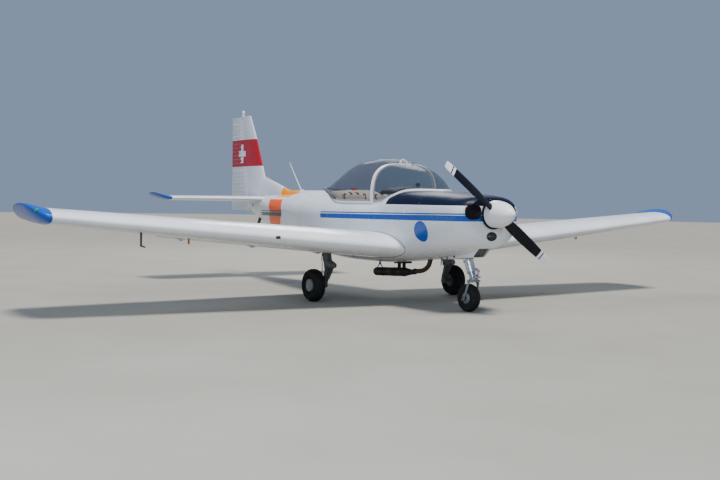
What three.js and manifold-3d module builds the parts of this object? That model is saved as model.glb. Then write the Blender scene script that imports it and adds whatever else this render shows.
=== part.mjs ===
// A two-seat, low-wing training aircraft with a fixed tricycle gear and a canopy that slides aft.
// Millimetres. +X is forward, +Y is to the left (port), +Z is up.
// The origin is on the ground, under the middle of the length and of the span.
import * as THREE from "three";
import { mergeVertices } from "three/addons/utils/BufferGeometryUtils.js";
import Module from "manifold-3d";

const wasm = await Module();
wasm.setup();

// Driving dimensions
const LENGTH = 7500;
const SPAN = 9750;
const NOSE_X = LENGTH / 2;
const TAIL_X = -LENGTH / 2;
const THRUST_Z = 1175; // height of the propeller shaft
const FIREWALL_X = 2600; // where the engine cowling starts
const COWL_FRONT_X = 3362;
const COWL_SPLIT_Z = 1150; // upper and lower cowling meet here
const SKIN = 28; // wall of the cabin, skin and trim together
const FIREWALL = 36;
const COWL_WALL = 14;
const FLOOR_Z = 640; // cabin floor
const CABIN_REAR_X = -420;
const SEAM = 0.4; // gap between pieces that touch
const RUN = 7; // running gap round a hinged surface or a sliding lid

const MAIN_X = 1180; // main wheel axle
const TRACK = 2250;
const NOSE_GEAR_X = 2960; // nose wheel axle
const MAIN_TYRE = { radius: 210, width: 150, bead: 84 };
const NOSE_TYRE = { radius: 168, width: 124, bead: 68 };

const PROP = { x: 3468, radius: 940, restAngle: THREE.MathUtils.degToRad(53.7) };
const SPINNER = { back: 3400, plate: 5, radius: 158, wall: 6 };
const STARTER_RING = { from: 3370, to: 3394, radius: 178 };

// Canopy: hoop where the fixed windshield and the sliding canopy meet
const HOOP_X = 1560;
const HOOP_WIDTH = 34;
const GLASS = 8;

// Paint and finish
const paint = (color, roughness = 0.35, metalness = 0) =>
  new THREE.MeshStandardMaterial({ color, roughness, metalness });
const WHITE = paint(0xeef0f3);
const BLUE = paint(0x0a63c8);
const BLACK = paint(0x16181c, 0.5);
const GREY = paint(0x8b8f95, 0.5, 0.6);
const STEEL = paint(0xb9bcc0, 0.35, 0.9);
const SOOT = paint(0x2e2a28, 0.7, 0.5);
const RUBBER = paint(0x17171a, 0.85);
const BEIGE = paint(0xd8c6b0, 0.8);
const CLEAR = new THREE.MeshStandardMaterial({
  color: 0xc9d6dd, roughness: 0.05, transparent: true, opacity: 0.35 });

const plane = new THREE.Group();

function put(name, geometry, material, parent = plane) {
  const mesh = new THREE.Mesh(geometry, material);
  mesh.name = name;
  parent.add(mesh);
  return mesh;
}

// Number helpers
const lerp = THREE.MathUtils.lerp;
const rad = THREE.MathUtils.degToRad;
const share = (value, from, to) => (value - from) / (to - from);
const V = (x, y, z) => new THREE.Vector3(x, y, z);

// Closes a list of points and triangles into a geometry whose faces point outwards.
function closed(points, triangles) {
  const flat = triangles.flatMap(([a, b, c]) => [points[a], points[b], points[c]]);
  const soup = new THREE.BufferGeometry().setFromPoints(flat);
  const merged = mergeVertices(soup, 1e-3);
  const place = merged.getAttribute("position");
  const index = [];
  let volume = 0;
  const [p, q, r] = [V(), V(), V()];
  for (let i = 0; i < merged.index.count; i += 3) {
    const [a, b, c] = [0, 1, 2].map((k) => merged.index.getX(i + k));
    if (a === b || b === c || c === a) continue;
    index.push(a, b, c);
    p.fromBufferAttribute(place, a);
    q.fromBufferAttribute(place, b);
    r.fromBufferAttribute(place, c);
    volume += p.dot(q.cross(r));
  }
  if (volume < 0) index.reverse();
  merged.setIndex(index);
  return merged;
}

// Joins outlines of equal point count into a solid, with a flat cap on the first and the last.
function loft(outlines) {
  const count = outlines[0].length;
  const points = outlines.flat();
  const triangles = [];
  for (let s = 0; s < outlines.length - 1; s++)
    for (let i = 0; i < count; i++) {
      const a = s * count + i;
      const b = s * count + ((i + 1) % count);
      triangles.push([a, b, b + count], [a, b + count, a + count]);
    }
  const first = capOf(outlines[0]);
  const last = capOf(outlines.at(-1));
  const base = (outlines.length - 1) * count;
  // A cap has to run round its outline against the sides, whichever way the flat drawing turned it.
  for (const [a, b, c] of first) triangles.push([a, c, b]);
  for (const [a, b, c] of last) triangles.push([base + a, base + b, base + c]);
  return closed(points, triangles);
}

// Triangles of a flat outline, turning the same way as its points.
function capOf(outline) {
  const normal = V(0, 0, 0);
  outline.forEach((p, i) => {
    const q = outline[(i + 1) % outline.length];
    normal.add(V((p.y - q.y) * (p.z + q.z), (p.z - q.z) * (p.x + q.x), (p.x - q.x) * (p.y + q.y)));
  });
  normal.normalize();
  const turn = new THREE.Quaternion().setFromUnitVectors(normal, V(0, 0, 1));
  const flat = outline.map((p) => {
    const t = p.clone().applyQuaternion(turn);
    return new THREE.Vector2(t.x, t.y);
  });
  return THREE.ShapeUtils.triangulateShape(flat, []);
}

// Two matching grids of points, an outer and an inner skin, closed round their edges.
function shell(outer, inner) {
  const rows = outer.length;
  const columns = outer[0].length;
  const points = [...outer.flat(), ...inner.flat()];
  const at = (side, i, j) => side * rows * columns + i * columns + j;
  const triangles = [];
  const quad = (a, b, c, d) => triangles.push([a, b, c], [a, c, d]);
  for (let i = 0; i < rows - 1; i++)
    for (let j = 0; j < columns - 1; j++) {
      quad(at(0, i, j), at(0, i + 1, j), at(0, i + 1, j + 1), at(0, i, j + 1));
      quad(at(1, i, j), at(1, i, j + 1), at(1, i + 1, j + 1), at(1, i + 1, j));
    }
  for (let j = 0; j < columns - 1; j++) {
    quad(at(0, 0, j), at(0, 0, j + 1), at(1, 0, j + 1), at(1, 0, j));
    quad(at(0, rows - 1, j + 1), at(0, rows - 1, j), at(1, rows - 1, j), at(1, rows - 1, j + 1));
  }
  for (let i = 0; i < rows - 1; i++) {
    quad(at(0, i + 1, 0), at(0, i, 0), at(1, i, 0), at(1, i + 1, 0));
    quad(at(0, i, columns - 1), at(0, i + 1, columns - 1), at(1, i + 1, columns - 1), at(1, i, columns - 1));
  }
  return closed(points, triangles);
}

// Cutting and joining
function solid(geometry) {
  const g = geometry.clone();
  g.deleteAttribute("normal");
  g.deleteAttribute("uv");
  const merged = mergeVertices(g, 1e-3);
  return new wasm.Manifold(new wasm.Mesh({
    numProp: 3,
    vertProperties: new Float32Array(merged.attributes.position.array),
    triVerts: new Uint32Array(merged.index.array),
  }));
}

function geometryOf(manifold) {
  const m = manifold.getMesh();
  const g = new THREE.BufferGeometry();
  g.setAttribute("position", new THREE.BufferAttribute(new Float32Array(m.vertProperties), 3));
  g.setIndex(new THREE.BufferAttribute(new Uint32Array(m.triVerts), 1));
  return g;
}

const cut = (geometry, ...tools) =>
  geometryOf(tools.reduce((s, t) => s.subtract(solid(t)), solid(geometry)));
// What is left of a thin sheet after a cut, without the slivers that the cut leaves.
const largest = (geometry) =>
  geometryOf(solid(geometry).decompose().sort((a, b) => b.volume() - a.volume())[0]);
const join = (...geometries) =>
  geometryOf(geometries.slice(1).reduce((s, g) => s.add(solid(g)), solid(geometries[0])));
const keep = (geometry, tool) => geometryOf(solid(geometry).intersect(solid(tool)));

// Plain shapes
function block(x0, x1, y0, y1, z0, z1) {
  return new THREE.BoxGeometry(x1 - x0, y1 - y0, z1 - z0)
    .translate((x0 + x1) / 2, (y0 + y1) / 2, (z0 + z1) / 2);
}

// The same block on either side: side is 1 for left and -1 for right.
const sided = (x0, x1, y0, y1, z0, z1, side) =>
  block(x0, x1, side > 0 ? y0 : -y1, side > 0 ? y1 : -y0, z0, z1);

// A round rod between two points, with its own radius at each end.
function rod(from, to, radiusFrom, radiusTo = radiusFrom, sides = 12) {
  const along = to.clone().sub(from);
  const g = new THREE.CylinderGeometry(radiusTo, radiusFrom, along.length(), sides);
  g.applyQuaternion(new THREE.Quaternion().setFromUnitVectors(V(0, 1, 0), along.clone().normalize()));
  return g.translate(...from.clone().add(to).multiplyScalar(0.5).toArray());
}

const tubeAlong = (points, radius, steps, sides = 10) =>
  new THREE.ExtrudeGeometry(
    new THREE.Shape(new THREE.EllipseCurve(0, 0, radius, radius).getPoints(sides).slice(0, -1)),
    { steps, extrudePath: new THREE.CatmullRomCurve3(points) });

// Fuselage sections. Columns: station x, half width, lowest z, z of the greatest width, highest z,
// and how square the lower and the upper half are (2 is an ellipse).
const BODY = [
  [-2950, 48, 1092, 1215, 1332, 2.0, 2.0],
  [-2600, 118, 990, 1190, 1345, 2.1, 2.0],
  [-2030, 215, 845, 1160, 1366, 2.2, 2.0],
  [-1300, 330, 690, 1125, 1396, 2.3, 2.0],
  [-550, 445, 566, 1100, 1424, 2.5, 2.0],
  [100, 522, 510, 1095, 1436, 2.7, 2.0],
  [700, 552, 490, 1095, 1440, 2.9, 2.1],
  [1400, 562, 500, 1100, 1442, 3.0, 2.1],
  [1750, 560, 526, 1105, 1445, 3.0, 2.2],
  [1980, 556, 551, 1110, 1446, 3.0, 3.0],
  [2150, 549, 573, 1114, 1445, 2.9, 3.8],
  [2600, 524, 632, 1122, 1430, 2.75, 3.7],
];
// Cowling sections, the same columns.
const COWL = [
  [2600, 524, 632, 1122, 1430, 2.75, 3.7],
  [2760, 512, 655, 1125, 1420, 2.7, 3.6],
  [3050, 474, 705, 1130, 1402, 2.6, 3.3],
  [3230, 455, 755, 1135, 1387, 2.5, 3.0],
  [3320, 414, 800, 1140, 1374, 2.4, 2.7],
  [3362, 348, 850, 1150, 1358, 2.3, 2.5],
];

// Rows between the rows of a table, each column on a smooth curve.
function between(rows, x) {
  const last = rows.length - 1;
  let i = rows.findIndex((row) => row[0] >= x);
  i = THREE.MathUtils.clamp(i < 0 ? last : i, 1, last);
  const [a, b] = [rows[i - 1], rows[i]];
  const t = share(x, a[0], b[0]);
  const before = rows[Math.max(i - 2, 0)];
  const after = rows[Math.min(i + 1, last)];
  return a.map((_, k) => {
    const slopeA = ((b[k] - before[k]) / (b[0] - before[0])) * (b[0] - a[0]);
    const slopeB = ((after[k] - a[k]) / (after[0] - a[0])) * (b[0] - a[0]);
    const t2 = t * t;
    const t3 = t2 * t;
    return (2 * t3 - 3 * t2 + 1) * a[k] + (t3 - 2 * t2 + t) * slopeA
      + (3 * t2 - 2 * t3) * b[k] + (t3 - t2) * slopeB;
  });
}

// Outline of a section, moved outwards by grow.
function section([x, half, low, wide, high, lowPower, highPower], grow, count) {
  return Array.from({ length: count }, (_, i) => {
    const a = (2 * Math.PI * (i + 0.5)) / count;
    const [c, s] = [Math.cos(a), Math.sin(a)];
    const power = s > 0 ? highPower : lowPower;
    const reach = s > 0 ? high - wide : wide - low;
    return V(
      x,
      (half + grow) * Math.sign(c) * Math.abs(c) ** (2 / power),
      wide + (reach + grow) * Math.sign(s) * Math.abs(s) ** (2 / power));
  });
}

const AROUND = 26;
const INNER_AROUND = 20;
function body(rows, stations, grow = 0, count = AROUND) {
  return loft(stations.map((x) => {
    const row = between(rows, x);
    row[0] = x;
    return section(row, grow, count);
  }));
}

const BODY_STATIONS = [-2950, -2780, -2600, -2320, -2030, -1680, -1300, -930, -550, -230, 100, 400, 700,
  1050, 1400, 1620, 1800, 1920, 2040, 2150, 2360, 2600];
const COWL_STATIONS = [2600, 2760, 2900, 3050, 3150, 3230, 3290, 3330, 3362];
const INNER_STATIONS = [-2900, -2320, -1680, -930, -230, 400, 1050, 1620, 1920, 2150, 2600];
const hollow = (rows, stations, inset) => body(rows, stations, -inset, INNER_AROUND);
const bodyGrown = body(BODY, BODY_STATIONS, SEAM);
const cowlGrown = body(COWL, COWL_STATIONS, SEAM);

// Height of the fuselage's upper skin at x and y.
function deck(x, y) {
  const [, half, , wide, high, , power] = between(x > FIREWALL_X ? COWL : BODY, x);
  const t = Math.min(Math.abs(y) / half, 1);
  return wide + (high - wide) * (1 - t ** power) ** (1 / power);
}

// Canopy sections. Columns: station x, half width at the rim, highest z, how square it is.
const CANOPY = [
  [-520, 14, 1462, 2.0],
  [-330, 96, 1487, 2.0],
  [-100, 196, 1541, 2.05],
  [120, 296, 1612, 2.1],
  [350, 394, 1687, 2.15],
  [600, 476, 1776, 2.3],
  [850, 500, 1843, 2.5],
  [1100, 503, 1860, 2.7],
  [1350, 505, 1858, 2.95],
  [HOOP_X, 505, 1790, 3.4],
];
const CANOPY_STATIONS = [-520, -330, -100, 120, 350, 600, 720, 850, 1100, 1300, 1420];
const CANOPY_AROUND = 16;
const RAIL_HEIGHT = 24; // of the canopy's rim frame
const TRACK_Y = { from: 452, to: 467.6 }; // the track lies along the inside of the sill
const TRACK_Z = { low: 1262, top: 1284 };
const SHOE = { from: 1430, to: 1520, top: 1315 };
const RIM_LIFT = 10; // the rim runs this far over the deck

// Underside of the canopy's rim: it follows the deck, and rises at its rear tip to clear the spine.
function rimZ(x, y) {
  return deck(x, y) + RIM_LIFT + 22 * (1 - THREE.MathUtils.smoothstep(Math.abs(y), 20, 120));
}

// One arch of the canopy, left to right.
function arch(x, inset, lift = 0) {
  const [, half, top, power] = between(CANOPY, x);
  const base = rimZ(x, half - inset) + lift;
  return Array.from({ length: CANOPY_AROUND + 1 }, (_, i) => {
    const a = (Math.PI * i) / CANOPY_AROUND;
    const [c, s] = [Math.cos(a), Math.sin(a)];
    return V(
      x,
      (half - inset) * Math.sign(c) * Math.abs(c) ** (2 / power),
      base + (top - inset - base) * Math.abs(s) ** (2 / power));
  });
}

const PIN_PLAY = 0.8; // round a hinge pin in its bearing
const RUDDER_PIN = 10;
const TORQUE_TUBE = 14;
const rudderPin = (radius) => rod(
  V(rudderAxisX(1140), 0, 1140), V(rudderAxisX(1066), 0, 1066), radius, radius, 24);
const torqueTube = (from, to, radius) => rod(
  V(ELEVATOR_X, from, TAIL_Z), V(ELEVATOR_X, to, TAIL_Z), radius, radius, 24);

// Fuselage with its cockpit cut out
function fuselage() {
  const outer = body(BODY, BODY_STATIONS);
  // The cabin stands on a floor over the wing spar; the tail cone behind it is a bare shell.
  const inside = keep(
    hollow(BODY, INNER_STATIONS, SKIN),
    join(block(CABIN_REAR_X, FIREWALL_X - FIREWALL, -700, 700, FLOOR_Z, 1600),
      block(-2880, CABIN_REAR_X + 1, -700, 700, 500, 1600)));
  // Opening in the deck: straight sills, a point aft and a round front under the windshield.
  const edge = [[-470, 0], [-350, 62], [560, 440], [700, 468], [1830, 468], [1930, 440], [1990, 340],
    [2020, 0]];
  const plan = new THREE.Shape([...edge, ...edge.slice(1, -1).reverse().map(([x, y]) => [x, -y])]
    .map(([x, y]) => new THREE.Vector2(x, y)));
  const opening = new THREE.ExtrudeGeometry(plan, { depth: 600, bevelEnabled: false }).translate(0, 0, 1180);
  // Plate under the tail cone that carries the rudder's lower pin.
  const bearing = cut(block(-3024, -2850, -24, 24, 1070, 1086), rudderPin(RUDDER_PIN + PIN_PLAY));
  const socket = torqueTube(-200, 200, TORQUE_TUBE + PIN_PLAY);
  put("fuselage_shell", cut(join(outer, bearing, scoop(SCOOP_TAIL)), inside, socket, opening), WHITE);
}

// Oil cooler scoop under the chin and its tail under the belly. Columns: x of the upper edge,
// x of the lower edge, half width, lowest z.
const SCOOP_TAIL = [
  [2240, 2240, 60, 594],
  [2430, 2430, 72, 597],
  [FIREWALL_X, FIREWALL_X, 82, 604],
];
const SCOOP = [
  [FIREWALL_X + SEAM, FIREWALL_X + SEAM, 82, 604],
  [2720, 2700, 88, 611],
  [2960, 2910, 92, 632],
  [3240, 3128, 94, 656],
];
const SCOOP_WALL = 8;
const SCOOP_HEIGHT = 112;
const SCOOP_CORNER = { floor: 0.72, rise: 22 }; // share of the width that is flat below, and bevel
const MOUTH_DEPTH = 50;

const scoop = (rows, inset = 0) => loft(rows.map(([topX, lowX, half, low]) => {
  const [side, floor] = [half - inset, low + inset];
  const cornerX = lerp(lowX, topX, SCOOP_CORNER.rise / SCOOP_HEIGHT);
  const right = [[lowX, SCOOP_CORNER.floor * side, floor], [cornerX, side, floor + SCOOP_CORNER.rise],
    [topX, side, low + SCOOP_HEIGHT - inset]];
  return [...right.map(([x, y, z]) => V(x, -y, z)), ...right.reverse().map(([x, y, z]) => V(x, y, z))];
}));

// Oval landing light low in the nose
const LAMP = { z: 918, radius: 58, stretch: 1.3 };
const lampRod = (from, to, radius) => rod(V(from, 0, LAMP.z), V(to, 0, LAMP.z), radius, radius, 20)
  .scale(1, LAMP.stretch, 1);

// Engine cowling: two shells round the engine, open at the firewall
function cowling() {
  const wall = cut(
    body(COWL, COWL_STATIONS),
    hollow(COWL, [FIREWALL_X - 5, 2900, 3150, 3290, COWL_FRONT_X - COWL_WALL], COWL_WALL),
    rod(V(3300, 0, THRUST_Z), V(3400, 0, THRUST_Z), 150, 150, 24));
  const inlets = [1, -1].map((side) => sided(3245, 3420, 190, 392, 1136, 1280, side));
  const open = cut(wall, ...inlets);
  const upper = keep(open, block(FIREWALL_X + SEAM, 3500, -900, 900, COWL_SPLIT_Z + SEAM / 2, 1600));
  const lampHole = lampRod(3300, 3420, LAMP.radius + SEAM);
  const legHole = block(2810, 3036, -80, 80, 560, 760);
  const [mouthTop, mouthLow, mouthHalf, mouthFloor] = SCOOP.at(-1);
  const mouth = scoop([-MOUTH_DEPTH, MOUTH_DEPTH].map((ahead) =>
    [mouthTop + ahead, mouthLow + ahead, mouthHalf, mouthFloor]), SCOOP_WALL);
  const lower = cut(
    join(keep(open, block(FIREWALL_X + SEAM, 3500, -900, 900, 500, COWL_SPLIT_Z - SEAM / 2)), scoop(SCOOP)),
    lampHole, legHole, mouth);
  put("cowling_upper", upper, WHITE);
  put("cowling_lower", lower, WHITE);
}

// Wing geometry along the span
const WING_ROOT_Y = 500;
const WING_TIP_Y = 4650;
const FLAP = { from: 622, to: 3044, droop: rad(10), drop: 42, pin: 7 };
const AILERON = { from: 3062, to: 4548 };
const END_GAP = 12; // at the ends of the flaps and ailerons
const HINGE_SHARE = 0.76; // of the chord, for flaps and ailerons
const INCIDENCE = rad(2.5);

function wingAt(y) {
  const t = share(y, WING_ROOT_Y, WING_TIP_Y);
  return {
    y,
    nose: V(lerp(2262, 1962, t), y, lerp(735, 1090, t)),
    chord: lerp(1880, 1160, t),
    thick: lerp(0.176, 0.155, t),
    camber: 0.02,
    tilt: INCIDENCE,
  };
}

// Half thickness and middle line of a wing section at a share of its chord.
const halfThick = (t, x) =>
  5 * t * (0.2969 * Math.sqrt(x) - 0.126 * x - 0.3516 * x * x + 0.2843 * x ** 3 - 0.1036 * x ** 4);
const middle = (m, x) => (x < 0.4 ? (m / 0.16) * (0.8 * x - x * x) : (m / 0.36) * (0.2 + 0.8 * x - x * x));

// A point of the section at share x of the chord and height h above the chord line.
function onSection(w, x, h) {
  const [c, s] = [Math.cos(w.tilt), Math.sin(w.tilt)];
  const [dx, dz] = [x * w.chord, h * w.chord];
  return V(w.nose.x - dx * c + dz * s * -1, w.nose.y, w.nose.z - dx * s + dz * c);
}
const upperAt = (w, x) => onSection(w, x, middle(w.camber, x) + halfThick(w.thick, x));
const lowerAt = (w, x) => onSection(w, x, middle(w.camber, x) - halfThick(w.thick, x));
const axisAt = (w, x) => onSection(w, x, middle(w.camber, x));
const noseRadius = (w, x) => halfThick(w.thick, x) * w.chord;

const NOSE_SHARES = [0, 0.006, 0.025, 0.06, 0.12, 0.22, 0.36, 0.52, 0.66];

// Fixed part: ends in a hollow that follows the hinged part's round nose.
function fixedOutline(w, hinge) {
  const r = noseRadius(w, hinge) + RUN;
  const centre = axisAt(w, hinge);
  const lip = Math.asin(Math.min((r - RUN) / r, 1)) - 0.1;
  const cove = Array.from({ length: 7 }, (_, i) => {
    const a = lerp(lip, -lip, i / 6);
    return V(centre.x + r * Math.cos(a), w.y, centre.z + r * Math.sin(a));
  });
  const shares = NOSE_SHARES.filter((x) => x < hinge - 0.06);
  return [
    ...shares.slice(1).reverse().map((x) => lowerAt(w, x)),
    onSection(w, 0, 0),
    ...shares.slice(1).map((x) => upperAt(w, x)),
    ...cove,
  ];
}

// The same point count for a whole section, so that both join in one loft.
function wholeOutline(w, hinge) {
  const shares = NOSE_SHARES.filter((x) => x < hinge - 0.06);
  const rear = [0.74, 0.86, 0.995].map((x) => upperAt(w, x));
  const under = [0.995, 0.9, 0.82, 0.74].map((x) => lowerAt(w, x));
  return [
    ...shares.slice(1).reverse().map((x) => lowerAt(w, x)),
    onSection(w, 0, 0),
    ...shares.slice(1).map((x) => upperAt(w, x)),
    ...rear,
    ...under,
  ];
}

// Hinged part: round nose about its axis, then flat sides to a thin trailing edge.
function hingedOutline(w, hinge, edge = 0.992) {
  const r = noseRadius(w, hinge);
  const centre = axisAt(w, hinge);
  const nose = Array.from({ length: 9 }, (_, i) => {
    const a = lerp(Math.PI / 2, -Math.PI / 2, i / 8) - w.tilt;
    return V(centre.x + r * Math.cos(a), w.y, centre.z + r * Math.sin(a));
  });
  const mid = lerp(hinge, edge, 0.5);
  return [...nose, lowerAt(w, mid), lowerAt(w, edge), upperAt(w, edge), upperAt(w, mid)];
}

const wingSolids = {};
const mirrorY = (outlines, side) => outlines.map((o) => o.map((p) => V(p.x, p.y * side, p.z)));

// Hinge line of the flap, a straight line under the wing
const BRACKET_Y = [900, 1880, 2860];
function flapAxis(y) {
  const at = (end) => lowerAt(wingAt(end), 0.745).add(V(0, 0, -FLAP.drop));
  return at(FLAP.from).lerp(at(FLAP.to), share(y, FLAP.from, FLAP.to));
}

// Pin through a bracket of the flap, along the hinge line.
const flapPin = (y, radius, side, sides) => {
  const [from, to] = [y - 10, y + 15].map((end) => flapAxis(end).multiply(V(1, side, 1)));
  return rod(from, to, radius, radius, sides);
};

function wings() {
  for (const [label, side] of [["left", 1], ["right", -1]]) {
    const whole = (y) => wholeOutline(wingAt(y), HINGE_SHARE);
    const open = (y) => fixedOutline(wingAt(y), HINGE_SHARE);
    const outlines = [whole(360), whole(FLAP.from - END_GAP), open(FLAP.from - END_GAP),
      open(AILERON.to + END_GAP), whole(AILERON.to + END_GAP), whole(WING_TIP_Y)];
    const wing = cut(loft(mirrorY(outlines, side)), bodyGrown);
    // Brackets under the flap's hinge line, and a lug to tie the aircraft down by.
    const brackets = BRACKET_Y.map((y) => {
      const [w, pin] = [wingAt(y), flapAxis(y)];
      const [a, b] = [lowerAt(w, 0.6), lowerAt(w, 0.71)];
      const plate = slab([[a.x, a.z + 12], [b.x, b.z + 8], [pin.x - 16, pin.z + 4], [pin.x - 12, pin.z - 16],
        [pin.x + 16, pin.z - 16]], side * (y - 5), side * (y + 5));
      return cut(plate, flapPin(y, FLAP.pin + PIN_PLAY, side, 16));
    });
    const lugW = wingAt(3020);
    const lugTop = lowerAt(lugW, 0.32);
    const lug = cut(
      block(lugTop.x - 22, lugTop.x + 22, side * 3020 - 5, side * 3020 + 5, lugTop.z - 62, lugTop.z + 14),
      rod(V(lugTop.x, side * 3020 - 20, lugTop.z - 38), V(lugTop.x, side * 3020 + 20, lugTop.z - 38),
        12, 12, 12));
    wingSolids[label] = wing;
    put(`wing_${label}`, join(wing, ...brackets, lug), WHITE);

    const tip = [
      [WING_TIP_Y + SEAM, 0, 0, 1, 0],
      [4700, 14, 10, 0.97, 8],
      [4760, 60, 62, 0.84, 34],
      [4820, 150, 170, 0.58, 70],
      [4858, 260, 300, 0.3, 98],
      [SPAN / 2, 360, 400, 0.12, 112],
    ].map(([y, cutNose, cutTail, thin, rise]) => {
      const w = wingAt(y);
      w.nose = V(w.nose.x - cutNose, y, w.nose.z + rise);
      w.thick *= thin;
      const full = w.chord;
      w.chord = full - cutNose - cutTail;
      w.thick *= full / w.chord;
      w.thick = Math.min(w.thick, 0.16);
      return wholeOutline(w, HINGE_SHARE);
    });
    put(`wing_tip_${label}`, loft(mirrorY(tip, side)), BLUE);

    const hinged = (range) => loft(mirrorY(
      [range.from, range.to].map((y) => hingedOutline(wingAt(y), HINGE_SHARE)), side));

    // The flap hangs from arms beside the brackets, and is parked a little way down.
    const arms = BRACKET_Y.map((y) => {
      const [w, pin] = [wingAt(y), flapAxis(y)];
      const [a, b] = [lowerAt(w, 0.8), lowerAt(w, 0.88)];
      const arm = slab([[a.x, a.z + 10], [b.x, b.z + 6], [pin.x - 14, pin.z - 13], [pin.x + 12, pin.z - 13],
        [pin.x + 12, pin.z + 12]], side * (y + 11), side * (y + 20));
      return join(arm, flapPin(y, FLAP.pin, side, 12));
    });
    const [inner, outer] = [FLAP.from, FLAP.to].map((y) => flapAxis(y).multiply(V(1, side, 1)));
    const along = outer.clone().sub(inner).normalize();
    put(`flap_${label}`, join(hinged(FLAP), ...arms)
      .translate(...inner.clone().negate().toArray())
      .applyMatrix4(new THREE.Matrix4().makeRotationAxis(along, -side * FLAP.droop))
      .translate(...inner.toArray()), WHITE);

    const pinAt = (y) => axisAt(wingAt(y), HINGE_SHARE).multiply(V(1, side, 1));
    const pin = keep(rod(pinAt(AILERON.to - 20), pinAt(AILERON.to + 40), 14),
      sided(800, 1300, AILERON.to - 100, AILERON.to + END_GAP - PIN_PLAY, 800, 1300, side));
    put(`aileron_${label}`, join(hinged(AILERON), pin), WHITE);
  }
}

// Tailplane and elevators
const TAIL_Z = 1300;
const TAIL_ROOT_Y = 78;
const TAIL_TIP_Y = 1660;
const TAIL_SPAN = 3670;
const ELEVATOR_X = -2862;
const ELEVATOR_FROM_Y = 138;

function tailAt(y) {
  const t = share(y, 120, TAIL_TIP_Y);
  const nose = V(lerp(-2290, -2345, t), y, TAIL_Z);
  const chord = nose.x - lerp(-3215, -3075, t);
  return { y, nose, chord, thick: lerp(0.098, 0.1, t), camber: 0, tilt: 0 };
}
const elevatorShare = (w) => (w.nose.x - ELEVATOR_X) / w.chord;

function tail() {
  for (const [label, side] of [["left", 1], ["right", -1]]) {
    const outlines = [TAIL_ROOT_Y, TAIL_TIP_Y].map((y) => fixedOutline(tailAt(y), elevatorShare(tailAt(y))));
    put(`tailplane_${label}`, cut(loft(mirrorY(outlines, side)), bodyGrown), WHITE);

    const tip = [
      [TAIL_TIP_Y + SEAM, 0, 0, 1, 0],
      [1710, 10, 10, 0.95, 8],
      [1765, 60, 45, 0.78, 26],
      [1810, 150, 100, 0.5, 52],
      [TAIL_SPAN / 2, 250, 150, 0.2, 74],
    ].map(([y, cutNose, cutTail, thin, rise]) => {
      const w = tailAt(y);
      w.nose = V(w.nose.x - cutNose, y, w.nose.z + rise);
      w.thick = Math.min(w.thick * thin * (w.chord / (w.chord - cutNose - cutTail)), 0.1);
      w.chord -= cutNose + cutTail;
      return wholeOutline(w, 0.7);
    });
    put(`tailplane_tip_${label}`, loft(mirrorY(tip, side)), BLUE);

    const elevator = loft(mirrorY([ELEVATOR_FROM_Y, TAIL_TIP_Y - RUN].map((y) => {
      const w = tailAt(y);
      return hingedOutline(w, elevatorShare(w));
    }), side));
    // Its torque tube runs into the tail cone.
    put(`elevator_${label}`, join(elevator, torqueTube(side * 34, side * 160, TORQUE_TUBE)), WHITE);
  }
}

// Fin and rudder: the same sections standing up. Sections are drawn in X and Y at a height z.
const FIN = { baseZ: 1322, topZ: 2700, kneeZ: 1660, shoulderZ: 2370 };
const finNoseX = (z) => -2470 - (Math.min(z, FIN.shoulderZ) - FIN.kneeZ) * 0.507
  - Math.max(z - FIN.shoulderZ, 0) * 0.636;
const rudderAxisX = (z) => -3000 - (z - 1100) * 0.225;
const RUDDER_LOW_Z = 1098;

function finAt(z) {
  const nose = finNoseX(z);
  const chord = nose - TAIL_X;
  return { nose, chord, thick: lerp(0.064, 0.075, share(z, FIN.baseZ, FIN.topZ)) };
}
const finHalf = (f, x) => halfThick(f.thick, share(x, f.nose, f.nose - f.chord)) * f.chord;

function finOutline(z, grow = 0) {
  const f = finAt(z);
  const axis = rudderAxisX(z);
  const r = finHalf(f, axis) + RUN;
  const lip = Math.asin((r - RUN) / r) - 0.1;
  const shares = [0.01, 0.05, 0.15, 0.35, 0.6];
  const end = axis + r * Math.cos(lip);
  const side = shares.map((s) => lerp(f.nose, end, s));
  const cove = Array.from({ length: 7 }, (_, i) => {
    const a = lerp(lip, -lip, i / 6);
    return V(axis + r * Math.cos(a), r * Math.sin(a), z);
  });
  return [
    V(f.nose + grow, 0, z),
    ...side.map((x) => V(x, finHalf(f, x) + grow, z)),
    ...(grow ? [] : cove),
    ...side.reverse().map((x) => V(x, -finHalf(f, x) - grow, z)),
  ];
}

let spineSolid;

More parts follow.
